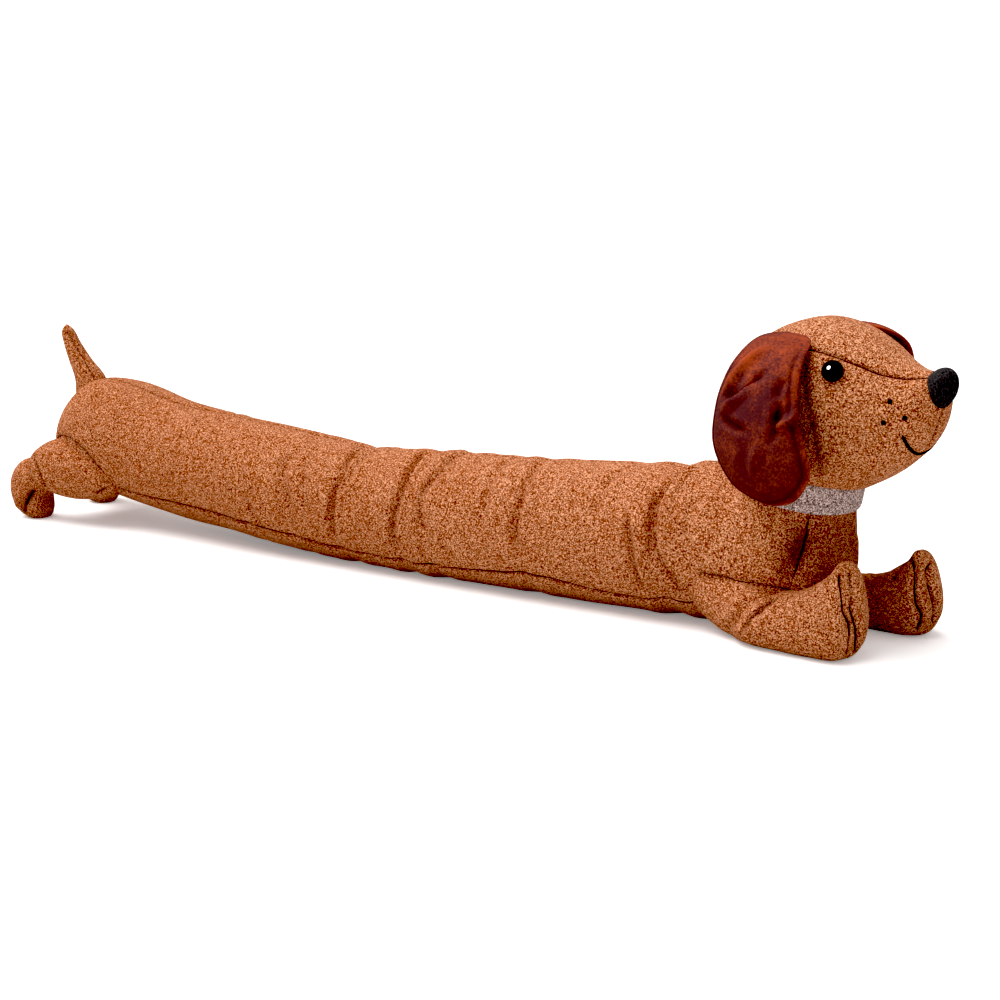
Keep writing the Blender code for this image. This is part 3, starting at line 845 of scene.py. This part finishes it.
def tweed():
    """Heather plush: pale tips and dark gaps over tan or rust, in soft drifts, darker and redder in creases."""
    made, n, shader, place = new_material("heather_tweed_plush", "tweed")
    c = colours()
    drift = n.add("ShaderNodeGroup", {"Vector": place, "Scale": 16.0, "Contrast": 1.5}, node_tree=get_drift())
    along = n.span(n.add("ShaderNodeSeparateXYZ", {0: place}).outputs["X"], -0.30, 0.40)
    share = n.math("ADD", n.math("MULTIPLY", along, 0.45), n.math("MULTIPLY", drift.outputs[0], 0.55), True)
    tufts = n.add(
        "ShaderNodeGroup",
        {
            "Vector": place,
            "Tufts": 1 / c.tuft,
            "Gap": (*c.gap, 1),
            "Middle": n.mix(share, (*c.rust, 1), (*c.tan, 1)),
            "Tip": (*c.tip, 1),
            "Tip Share": n.math("ADD", n.math("MULTIPLY", share, 0.3), 0.7),
        },
        node_tree=get_tufts(),
    )
    painted_light_and_shade = n.add("ShaderNodeAttribute", attribute_name="painted_light_and_shade").outputs["Fac"]
    # painted shade: the colour goes towards the seam thread's dark red where the points carry shade
    colour = n.mix(n.math("MULTIPLY", painted_light_and_shade, 0.92, True), tufts.outputs["Colour"], (*c.thread, 1))
    n.tree.links.new(colour, shader.inputs["Base Color"])
    shader.inputs["Roughness"].default_value = 0.95
    shader.inputs["Specular IOR Level"].default_value = 0.1
    sheen(shader, 0.12, 0.4, (1.0, 0.6, 0.35))
    bump(n, shader, tufts.outputs["Height"], 0.6, 0.0007)
    return made


def velvet():
    """Short velvet pile: deep crimson brown, warmer in streaks and where the nap turns to the light."""
    made, n, shader, place = new_material("ear_velvet_pile", "velvet")
    c = colours()
    wide = n.add("ShaderNodeGroup", {"Vector": place, "Scale": 42.0, "Contrast": 2.4}, node_tree=get_drift())
    fine = n.add("ShaderNodeGroup", {"Vector": place, "Scale": 620.0, "Contrast": 3.2}, node_tree=get_drift())
    # painted light: the velvet is lighter towards the top, where the light falls
    high = n.span(n.add("ShaderNodeSeparateXYZ", {0: place}).outputs["Z"], 0.165, 0.235)
    painted_light_and_shade = n.add("ShaderNodeAttribute", attribute_name="painted_light_and_shade").outputs["Fac"]
    share = n.math("ADD", n.math("MULTIPLY", wide.outputs[0], 0.45), n.math("MULTIPLY", fine.outputs[0], 0.35))
    share = n.math("ADD", share, n.math("MULTIPLY", high, 0.22))
    # painted shade in fold troughs and painted highlight on ridges, from the shading attribute
    share = n.math("SUBTRACT", share, n.math("MULTIPLY", painted_light_and_shade, 0.45), True)
    colour = n.mix(n.span(share, 0.30, 0.95), (*c.velvet_deep, 1), (*c.velvet_light, 1))
    colour = n.mix(n.math("MULTIPLY", painted_light_and_shade, 0.8, True), colour, [0.25 * v for v in c.velvet_deep] + [1])
    n.tree.links.new(colour, shader.inputs["Base Color"])
    shader.inputs["Roughness"].default_value = 0.9
    shader.inputs["Specular IOR Level"].default_value = 0.15
    sheen(shader, 0.22, 0.3, (0.95, 0.30, 0.12))
    bump(n, shader, fine.outputs[0], 0.4, 0.0006)
    return made


def wool_tape():
    """Grey melange wool with fine dark and light flecks."""
    made, n, shader, place = new_material("collar_melange", "collar_wool")
    c = colours()
    tufts = n.add(
        "ShaderNodeGroup",
        {
            "Vector": place,
            "Tufts": 1300.0,
            "Gap": (0.08, 0.050, 0.042, 1),
            "Middle": (*c.collar, 1),
            "Tip": (1.0, 0.80, 0.74, 1),
            "Tip Share": 0.9,
        },
        node_tree=get_tufts(),
    )
    n.tree.links.new(tufts.outputs["Colour"], shader.inputs["Base Color"])
    shader.inputs["Roughness"].default_value = 0.95
    shader.inputs["Specular IOR Level"].default_value = 0.1
    sheen(shader, 0.1, 0.5, (1.0, 0.92, 0.9))
    bump(n, shader, tufts.outputs["Height"], 0.6, 0.0006)
    return made


def plush():
    """Black short pile."""
    made, n, shader, place = new_material("nose_black_plush", "nose_plush")
    c = colours()
    fine = n.add("ShaderNodeGroup", {"Vector": place, "Scale": 700.0, "Contrast": 2.0}, node_tree=get_drift())
    colour = n.mix(fine.outputs[0], (0.022, 0.020, 0.021, 1), (*c.nose, 1))
    n.tree.links.new(colour, shader.inputs["Base Color"])
    shader.inputs["Roughness"].default_value = 0.9
    shader.inputs["Specular IOR Level"].default_value = 0.1
    sheen(shader, 0.06, 0.4, (0.5, 0.42, 0.5))
    bump(n, shader, fine.outputs[0], 0.6, 0.0008)
    return made


def gloss():
    """Glossy black button."""
    made, n, shader, place = new_material("eye_black_gloss", "eye")
    dust = n.noise(place, 900.0, 2.0).outputs["Fac"]
    n.tree.links.new(n.mix(dust, (0.006, 0.006, 0.010, 1), (0.012, 0.012, 0.018, 1)), shader.inputs["Base Color"])
    n.tree.links.new(n.span(dust, 0.3, 0.8, 0.05, 0.16), shader.inputs["Roughness"])
    shader.inputs["Coat Weight"].default_value = 0.6
    shader.inputs["Coat Roughness"].default_value = 0.04
    return made


def yarn(name, colour):
    """Sewing or embroidery thread: a plain dark colour with a twist of fine light lines."""
    made, n, shader, place = new_material(name, "thread")
    fine = n.noise(place, 1500.0, 2.0).outputs["Fac"]
    dark, light = ([share * value for value in colour] + [1] for share in (0.5, 1.6))
    n.tree.links.new(n.mix(fine, dark, light), shader.inputs["Base Color"])
    shader.inputs["Roughness"].default_value = 0.7
    sheen(shader, 0.1, 0.4, (1.0, 0.8, 0.7))
    bump(n, shader, fine, 0.4, 0.0003)
    return made


get_tweed, get_velvet, get_tape = once(tweed), once(velvet), once(wool_tape)
get_plush, get_gloss = once(plush), once(gloss)
get_seam_yarn = once(lambda: yarn("seam_thread_brown", tuple(colours().thread)))
get_face_yarn = once(lambda: yarn("face_thread_black", (0.012, 0.007, 0.006)))


def make_body():
    s = sizes()
    where = stations(BODY, 640)
    rings = skin(BODY, where, around_ring(148, (-40, 90, 220)))
    rings = lumps(rings, s.lump_height / MM, 70.0, 3)
    rings = fold_rings(rings, BODY, where, FOLDS)
    seams = (BELLY_SEAM, mirrored(BELLY_SEAM), BACK_SEAM, CHEST_SEAM, mirrored(CHEST_SEAM))
    seams = [lay_line(rings, places) for places in seams]
    creases = [(lay_line(rings, places), depth, width) for places, depth, width in CREASES]
    for places, depth, width in CREASES:
        across = [(x + FAR_CREASE_AHEAD, y, z) for x, y, z in mirrored(places)]
        creases.append((lay_line(rings, across), FAR_CREASE_SHARE * depth, width))
    pulls = (SHOULDER_SEAM, mirrored(SHOULDER_SEAM), THIGH_SEAM, mirrored(THIGH_SEAM))
    pulls = [lay_line(rings, places) for places in pulls]
    rings = puffed(rings, 6.0, 2.5, seams + [line for line, depth, _ in creases if depth > 1.5])
    piece = Skin(rings)
    # each crease is pressed in, with painted shade in its trough
    for line, depth, width in creases:
        piece.press(line, 1.12 * depth, 1.2 * width, 0.075 * depth, 1.0, 0.12)
    # painted shade in the hollow before the foreleg and under the ear, on both sides
    for places, width, dark in PAINTED_SHADES:
        for each in (places, mirrored(places)):
            piece.press(lay_line(rings, each), 0.0, width, dark, 0.0, 0.3)
    # painted shade on the chest panel under the head, ahead of x 784 and below z 120
    piece.dark += 0.32 * np.clip((rings[..., 0] - 784) / 10, 0, 1) * np.clip((120 - rings[..., 2]) / 30, 0, 1)
    for number, seam in enumerate(seams + pulls):
        depth, dark = (0.9, 0.9) if number < MAIN_SEAMS else (0.5, 0.55)
        piece.seam(seam, depth * s.seam_depth / MM, dark)
    rings = settled(piece.rings)
    body = carry(stuffed("body_skin", rings, get_tweed(), True, False, piece.dark), "body")
    sewn = [seam_thread(rings, seam, 0.55, 0.2) for seam in seams[:MAIN_SEAMS]]
    sewn += [seam_thread(rings, seam, 0.42, 0.0) for seam in seams[MAIN_SEAMS:] + pulls]
    sewn = threads("body_seams", sewn, get_seam_yarn())
    carry(sewn, None)
    return body


def make_head():
    s = sizes()
    where = stations(HEAD, 300)
    rings = skin(HEAD, where, around_ring(290))
    rings = lumps(rings, s.lump_height / MM * 0.5, 45.0, 5)
    seams = [lay_line(rings, FOREHEAD_SEAM), lay_line(rings, mirrored(FOREHEAD_SEAM)), lay_line(rings, PHILTRUM)]
    smile = lay_line(rings, SMILE + mirrored(SMILE[:3])[::-1])
    piece = Skin(puffed(rings, 6.0, 1.0, seams))
    for seam in seams:
        piece.seam(seam, s.seam_depth / MM * 0.7)
    piece.press(smile, 0.9, 2.2, 0.3)
    # painted shadow of the ear on the cheek: a narrow groove with a dark line, and a broad painted shade
    for places in (CHEEK, mirrored(CHEEK)):
        line = lay_line(rings, places)
        piece.press(line, 0.9, 2.6, 0.4, 0.0, 0.1).press(line, 0.0, 12.0, 0.26, 0.0, 0.2)
    rings = piece.rings
    plane_up = np.array([math.sin(COLLAR_TILT), 0.0, math.cos(COLLAR_TILT)])
    top = np.array([COLLAR_CENTRE[0], 0.0, COLLAR_CENTRE[1]]) + plane_up * (COLLAR_HEIGHT + 0.3)
    under = (rings - top) @ plane_up
    flat = rings - np.minimum(under, 0)[..., None] * plane_up
    carry(stuffed("head_skin", flat, get_tweed(), dark=piece.dark), "head")
    sewn = threads("head_seams", [seam_thread(rings, seam, 0.5, -0.05) for seam in seams], get_seam_yarn())
    carry(sewn, None)
    face = [seam_thread(rings, smile, 1.15, 0.3, 8)]
    normals = ring_normals(rings)
    for places in (WHISKERS, mirrored(WHISKERS)):
        for place in places:
            nearest = ((rings - np.array(place, float)) ** 2).sum(axis=2)
            i, j = np.unravel_index(nearest.argmin(), nearest.shape)
            middle, out = rings[i, j], normals[i, j]
            side = np.cross(out, (0.0, 0.0, 1.0))
            side /= np.linalg.norm(side)
            centres = middle + side * np.linspace(-1.8, 1.8, 9)[:, None] + out * 0.15
            face.append(tube(centres, np.tile(out, (9, 1)), 1.8, 10, 0.45))
    carry(threads("face_embroidery", face, get_face_yarn()), None)


def make_ears():
    for name, side, rows in (("right", -1, EAR_RIGHT), ("left", 1, EAR_LEFT)):
        where = stations(rows, 240)
        rings = skin(rows, where, around_ring(190, (90, 270), 0.3, 3.0), 2.0)
        table = spline(rows, where)
        middle, half = (table[:, 0] + table[:, 2]) / 2, np.abs(table[:, 2] - table[:, 0]) / 2
        across = (rings[..., 0] - middle[:, None]) / np.maximum(half, 1.0)[:, None]
        rings[..., 1] += 6.0 * (1 - across**2) * np.minimum(half / 30, 1)[:, None]
        rings[..., 1] *= side
        piece = Skin(rings)
        for places, depth, width, dark in EAR_FOLDS:
            if side > 0:
                places = mirrored(places)
            piece.press(lay_line(rings, places), 1.7 * depth, 0.85 * width, 0.8 * dark, 0.0, 0.3)
        every = np.arange(len(rings))
        edges = [rings[every, rings[..., 0].argmin(axis=1)], rings[every, rings[..., 0].argmax(axis=1)]]
        flat = np.concatenate(edges) * (1, 0, 1)
        distance, _ = distance_to(piece.rings * (1, 0, 1), flat, 12.0)
        rim = np.exp(-(((distance - 4.2) / 1.3) ** 2)) * np.clip((where - 0.12) / 0.1, 0, 1)[:, None]
        outer = np.sign(rings[..., 1] - rings[..., 1].mean(axis=1, keepdims=True)) == side
        piece.rings[..., 1] -= side * 1.1 * rim * np.where(outer, 1, -1)
        # painted light on the rim: the rolled band is painted darker, and on the lower half the very edge is painted
        # lighter as a highlight where the pile catches the light
        low = np.clip((where - 0.45) / 0.15, 0, 1)[:, None]
        dark = piece.dark + 0.35 * rim - 0.55 * np.exp(-((distance / 1.5) ** 2)) * low
        carry(stuffed("ear_" + name + "_velvet", piece.rings, get_velvet(), dark=dark), "ear_" + name)


def make_collar():
    along = np.array([math.cos(COLLAR_TILT), 0.0, -math.sin(COLLAR_TILT)])
    up = np.array([math.sin(COLLAR_TILT), 0.0, math.cos(COLLAR_TILT)])
    bottom = np.array([COLLAR_CENTRE[0], 0.0, COLLAR_CENTRE[1]])
    radius = NECK_RADIUS + 3.6
    turn = np.linspace(0, 2 * np.pi, 240, endpoint=False)
    edge = np.linspace(0, 2 * np.pi, 36, endpoint=False)
    tall, thick = (COLLAR_HEIGHT - 1.0) / 2, 1.1
    height = COLLAR_HEIGHT / 2 + tall * np.sign(np.sin(edge)) * np.abs(np.sin(edge)) ** 0.35
    out = radius - thick + thick * np.sign(np.cos(edge)) * np.abs(np.cos(edge)) ** 0.6
    reach = [np.sign(wave) * np.abs(wave) ** (2 / CREST) for wave in (np.cos(turn), np.sin(turn))]
    rings = (
        bottom
        + along * (reach[0][:, None] * out)[..., None]
        + np.array([0.0, 1.0, 0.0]) * (reach[1][:, None] * out)[..., None]
        + up * height[None, :, None]
    )
    count, around = rings.shape[:2]
    i, j = np.meshgrid(np.arange(count), np.arange(around), indexing="ij")
    k, m = (i + 1) % count, (j + 1) % around
    quads = np.stack([i * around + j, i * around + m, k * around + m, k * around + j], axis=-1).reshape(-1, 4)
    carry(surface("collar_band", placed(rings.reshape(-1, 3)), [quads], get_tape()), "collar")


def make_forelegs():
    s = sizes()
    for name, side, ahead, out, stands, toes in PAWS:
        rows = np.array(FORELEG, float)
        reach = np.clip((rows[:, 0] - 700) / 100, 0, 1)
        rows[:, [0, 2]] += ahead * reach[:, None]
        rows[:, [1, 3]] *= stands
        rows[:, 4] += out * reach
        where = stations(rows, 240)
        middle = 1.5 * math.pi + math.radians(toes)
        angle = around_ring(205, (270 + toes - 19, 270 + toes + 19), 0.35, 1.8)
        rings = fold_rings(skin(rows, where, angle, 2.3), rows, where, ELBOW)
        rings = toe_rings(rings, where, angle, middle, start=0.62)
        rings[..., 1] *= side
        lines = [lay_line(rings, p) for p in (NEAR_TOES if side < 0 else FAR_TOES)]
        piece = Skin(puffed(rings, 5.0, 1.5, lines))
        # the elbow fold is pressed in, with painted shade in it
        piece.press(lay_line(rings, ELBOW_FOLD if side < 0 else mirrored(ELBOW_FOLD)), 3.8, 3.6, 0.6, 0.0, 0.15)
        for line in lines:
            piece.press(line, 1.6, 5.0, 0.0, 0.0, 0.1)
            piece.seam(line, 0.8 * s.seam_depth / MM, 0.7)
        if side > 0:
            piece.seam(lay_line(rings, FAR_SOLE), s.seam_depth / MM)
        leg = stuffed("foreleg_" + name + "_skin", piece.rings, get_tweed(), dark=piece.dark)
        carry(leg, "foreleg_" + name)
        sewn = [seam_thread(piece.rings, line, 0.7, 0.15) for line in lines]
        carry(threads("toe_lines_" + name, sewn, get_seam_yarn()), None)


def make_hind_legs():
    s = sizes()
    for name, side in (("right", -1), ("left", 1)):
        rings = skin(THIGH, stations(THIGH, 130), around_ring(140))
        rings[..., 1] *= side
        piece = Skin(puffed(rings, 5.0, 1.2))
        for places in (KNEE_SEAM, ANKLE_SEAM):
            piece.seam(lay_line(rings, places if side < 0 else mirrored(places)), s.seam_depth / MM)
        thigh = stuffed("thigh_" + name + "_skin", piece.rings, get_tweed(), False, dark=piece.dark)
        carry(thigh, "thigh_" + name)
        where, angle = stations(FOOT, 130), around_ring(140, (90,), 0.6, 1.0)
        rings = skin(FOOT, where, angle)
        rings[..., 1] *= side
        piece = Skin(puffed(rings, 5.0, 0.8))
        toe = lay_line(rings, TOE_SEAM if side < 0 else mirrored(TOE_SEAM))
        # the toe crease is pressed in, with painted shade in it
        piece.press(toe, 4.0, 4.5, 0.3).seam(toe, 1.2 * s.seam_depth / MM)
        foot = stuffed("hind_foot_" + name + "_skin", piece.rings, get_tweed(), False, dark=piece.dark)
        carry(foot, "hind_foot_" + name)


def make_tail():
    piece = Skin(puffed(skin(TAIL, stations(TAIL, 160), around_ring(110)), 4.0, 0.6))
    # painted shade where the tail meets the body
    piece.dark[:4] = np.array([1.0, 0.9, 0.5, 0.2])[:, None]
    piece.press(lay_line(piece.rings, TAIL_SEAM), 0.6, 1.4, 0.6)
    carry(stuffed("tail_skin", piece.rings, get_tweed(), False, dark=piece.dark), "tail")


def make_eyes():
    for name, side in (("right", -1), ("left", 1)):
        turn = np.array(Vector((0, 0, 1)).rotation_difference(Vector((0.45, side, 0.35)).normalized()).to_matrix())
        lift = np.linspace(0, math.pi / 2, 24)
        radius = np.concatenate([[8.0, 8.0], 8.0 * np.cos(lift)])
        height = np.concatenate([[-3.0, -1.0], 5.0 * np.sin(lift)])
        angle = np.linspace(0, 2 * np.pi, 72, endpoint=False)
        rings = np.stack(
            [radius[:, None] * np.cos(angle), radius[:, None] * np.sin(angle), height[:, None] + 0 * angle], axis=-1
        )
        rings = rings @ turn.T + np.array([811.5, side * 47.5, 211.3])
        carry(stuffed("eye_" + name + "_button", rings, get_gloss(), False), "eye_" + name)


def make_nose():
    lean = math.radians(-20)
    v, u = np.linspace(0, math.pi, 60), np.linspace(0, 2 * np.pi, 100, endpoint=False)
    x = 10.8 * np.sin(v)[:, None] * np.cos(u)
    y = 16.0 * np.sin(v)[:, None] * np.sin(u)
    z = 16.2 * np.cos(v)[:, None] + 0 * u
    rings = np.stack([x * math.cos(lean) - z * math.sin(lean), y, x * math.sin(lean) + z * math.cos(lean)], axis=-1)
    carry(stuffed("nose_button", rings + np.array([870.5, 0.0, 199.5]), get_plush()), "nose")


def lamp(name, kind, place, aim, power, **settings):
    """A lamp at a place, shining at another."""
    data = bpy.data.lights.new(name, kind)
    data.energy = power
    for key, value in settings.items():
        setattr(data, key, value)
    made = bpy.data.objects.new(name, data)
    made.location = place
    made.rotation_euler = (Vector(aim) - Vector(place)).to_track_quat("-Z", "Y").to_euler()
    bpy.context.scene.collection.objects.link(made)
    return made


def make_room():
    """A white room: full white where it is seen, dim in glossy reflections, and a softer glow on the object."""
    world = bpy.data.worlds.new("pale_room")
    world.use_nodes = True
    n = Nodes(world.node_tree)
    path = n.add("ShaderNodeLightPath")
    strength = n.span(path.outputs["Is Camera Ray"], 0.0, 1.0, AMBIENT, 1.10)
    strength = n.math("MULTIPLY", strength, n.span(path.outputs["Is Glossy Ray"], 0.0, 1.0, 1.0, 0.12))
    glow = world.node_tree.nodes["Background"]
    glow.inputs["Color"].default_value = (1, 1, 1, 1)
    n.tree.links.new(strength, glow.inputs["Strength"])
    bpy.context.scene.world = world


def make_floor():
    """A white floor that throws back only part of the light, as a wide table in a dark room does."""
    made = bpy.data.materials.new("pale_floor")
    made.use_nodes = True
    made.node_tree.nodes.clear()
    n = Nodes(made.node_tree)
    path = n.add("ShaderNodeLightPath")
    seen = path.outputs["Is Camera Ray"]
    level = n.span(seen, 0.0, 1.0, FLOOR_BOUNCE, FLOOR_SEEN)
    level = n.math("MULTIPLY", level, n.span(path.outputs["Is Glossy Ray"], 0.0, 1.0, 1.0, 0.08))
    shade = n.add("ShaderNodeCombineColor", {i: level for i in range(3)})
    matt = n.add("ShaderNodeBsdfDiffuse", {"Color": shade.outputs[0]})
    glow = n.add("ShaderNodeEmission", {"Strength": n.math("MULTIPLY", seen, FLOOR_GLOW)})
    both = n.add("ShaderNodeAddShader", {0: matt.outputs[0], 1: glow.outputs[0]})
    output = n.add("ShaderNodeOutputMaterial")
    n.tree.links.new(both.outputs[0], output.inputs["Surface"])
    side = 60.0
    mesh = bpy.data.meshes.new("floor")
    mesh.from_pydata([(-side, -side, 0), (side, -side, 0), (side, side, 0), (-side, side, 0)], [], [(0, 1, 2, 3)])
    mesh.materials.append(made)
    floor = bpy.data.objects.new("floor", mesh)
    bpy.context.scene.collection.objects.link(floor)


def make_stage():
    scene = bpy.context.scene
    scene.view_settings.view_transform = "Standard"
    make_room()
    make_floor()
    scene.view_settings.use_curve_mapping = True
    scene.view_settings.curve_mapping.black_level = (BLACK, BLACK, BLACK)
    soft = lamp("overhead_softbox", "SUN", (-1.1, -0.4, 3.0), (0.0, 0.0, 0.0), KEY, angle=math.radians(56.0))
    soft.visible_glossy = False
    glint = lamp("eye_glint", "AREA", (-0.263, -1.476, 1.462), (0.397, -0.059, 0.214), 60.0, shape="DISK", size=0.9)
    glint.visible_diffuse = False
    data = bpy.data.cameras.new("photo_camera")
    data.lens, data.sensor_width, data.clip_end = 61.2, 36.0, 200.0
    camera = bpy.data.objects.new("photo_camera", data)
    camera.location = (0.8566, -1.1853, 0.3724)
    camera.rotation_euler = (math.radians(78.0), 0.0, math.radians(33.2))
    scene.collection.objects.link(camera)
    scene.camera = camera


def tint(name, text, value):
    return bpy.props.FloatVectorProperty(
        name=name, description=text, default=value, size=3, min=0, max=1, subtype="COLOR"
    )


def length(name, text, value, least, most):
    return bpy.props.FloatProperty(
        name=name, description=text, default=value, min=least, max=most, subtype="DISTANCE", unit="LENGTH"
    )


class DogColours(bpy.types.PropertyGroup):
    """Colours of the fabrics and threads."""

    tan: tint("Tan", "Lighter ground of the tweed", (0.42, 0.130, 0.064))
    rust: tint("Rust", "Redder ground of the tweed", (0.34, 0.079, 0.025))
    tip: tint("Tip", "Pale tips of the pile", (1.0, 0.53, 0.32))
    gap: tint("Gap", "Dark gaps between the tufts", (0.10, 0.019, 0.009))
    tuft: length("Tuft size", "Spacing of the pile's tufts", 0.00066, 0.0005, 0.01)
    # the velvet colours also make the ears' painted light: the light one towards the tops and on ridges, a quarter of
    # the deep one in fold troughs
    velvet_deep: tint("Velvet, deep", "Velvet against the nap", (0.118, 0.047, 0.050))
    velvet_light: tint("Velvet, light", "Velvet along the nap", (0.39, 0.090, 0.050))
    collar: tint("Collar", "Ground of the collar's wool", (0.39, 0.28, 0.25))
    nose: tint("Nose", "Pile of the nose", (0.100, 0.092, 0.094))
    # the seam thread's colour is also the colour of the painted shade on the tweed
    thread: tint("Seam thread", "Thread in the seams", (0.055, 0.009, 0.008))


class DogSizes(bpy.types.PropertyGroup):
    """Sizes of the sewn detail."""

    seam_depth: length("Seam depth", "How far a seam pulls the skin in", 0.0018, 0.0, 0.005)
    lump_height: length("Lump height", "Unevenness of the stuffing", 0.0005, 0.0, 0.003)


def operator(name, label, text, makers):
    """An operator class that runs the makers and reports what is wrong by raising it."""

    def execute(self, context):
        for make in makers:
            make()
        return {"FINISHED"}

    given = {
        "__doc__": text,
        "bl_idname": "draught_dog." + name,
        "bl_label": label,
        "bl_options": {"REGISTER", "UNDO"},
        "execute": execute,
    }
    return type("DRAUGHT_DOG_OT_" + name, (bpy.types.Operator,), given)


OPERATORS = (
    operator("stage", "Stage", "Floor, light and camera", (make_stage,)),
    operator("body", "Body", "The long stuffed tube with its ring folds and seams", (make_body,)),
    operator("head", "Head", "The head with its seams and embroidered face", (make_head,)),
    operator("ears", "Ears", "Two hanging velvet ears", (make_ears,)),
    operator("collar", "Collar", "The wool band around the neck", (make_collar,)),
    operator("forelegs", "Forelegs", "Two stretched forelegs with upturned paws", (make_forelegs,)),
    operator("hind_legs", "Hind legs", "Thighs and folded feet", (make_hind_legs,)),
    operator("tail", "Tail", "The short upright tail", (make_tail,)),
    operator("eyes", "Eyes", "Glossy button eyes", (make_eyes,)),
    operator("nose", "Nose", "The black plush nose", (make_nose,)),
)


class VIEW3D_PT_draught_dog(bpy.types.Panel):
    """Lists the steps that build the draught excluder."""

    bl_label = "Draught Excluder"
    bl_space_type = "VIEW_3D"
    bl_region_type = "UI"
    bl_category = "Draught Excluder"

    def draw(self, context):
        for group in (context.scene.draught_dog_colours, context.scene.draught_dog_sizes):
            for key in group.__annotations__:
                self.layout.prop(group, key)
        for step in OPERATORS:
            self.layout.operator(step.bl_idname)


CLASSES = (DogColours, DogSizes, *OPERATORS, VIEW3D_PT_draught_dog)


def register():
    for cls in CLASSES:
        bpy.utils.register_class(cls)
    bpy.types.Scene.draught_dog_colours = bpy.props.PointerProperty(type=DogColours)
    bpy.types.Scene.draught_dog_sizes = bpy.props.PointerProperty(type=DogSizes)


def unregister():
    del bpy.types.Scene.draught_dog_sizes
    del bpy.types.Scene.draught_dog_colours
    for cls in reversed(CLASSES):
        bpy.utils.unregister_class(cls)


def main():
    register()
    for step in OPERATORS:
        getattr(bpy.ops.draught_dog, step.bl_idname.split(".")[1])()


if __name__ == "__main__":
    main()
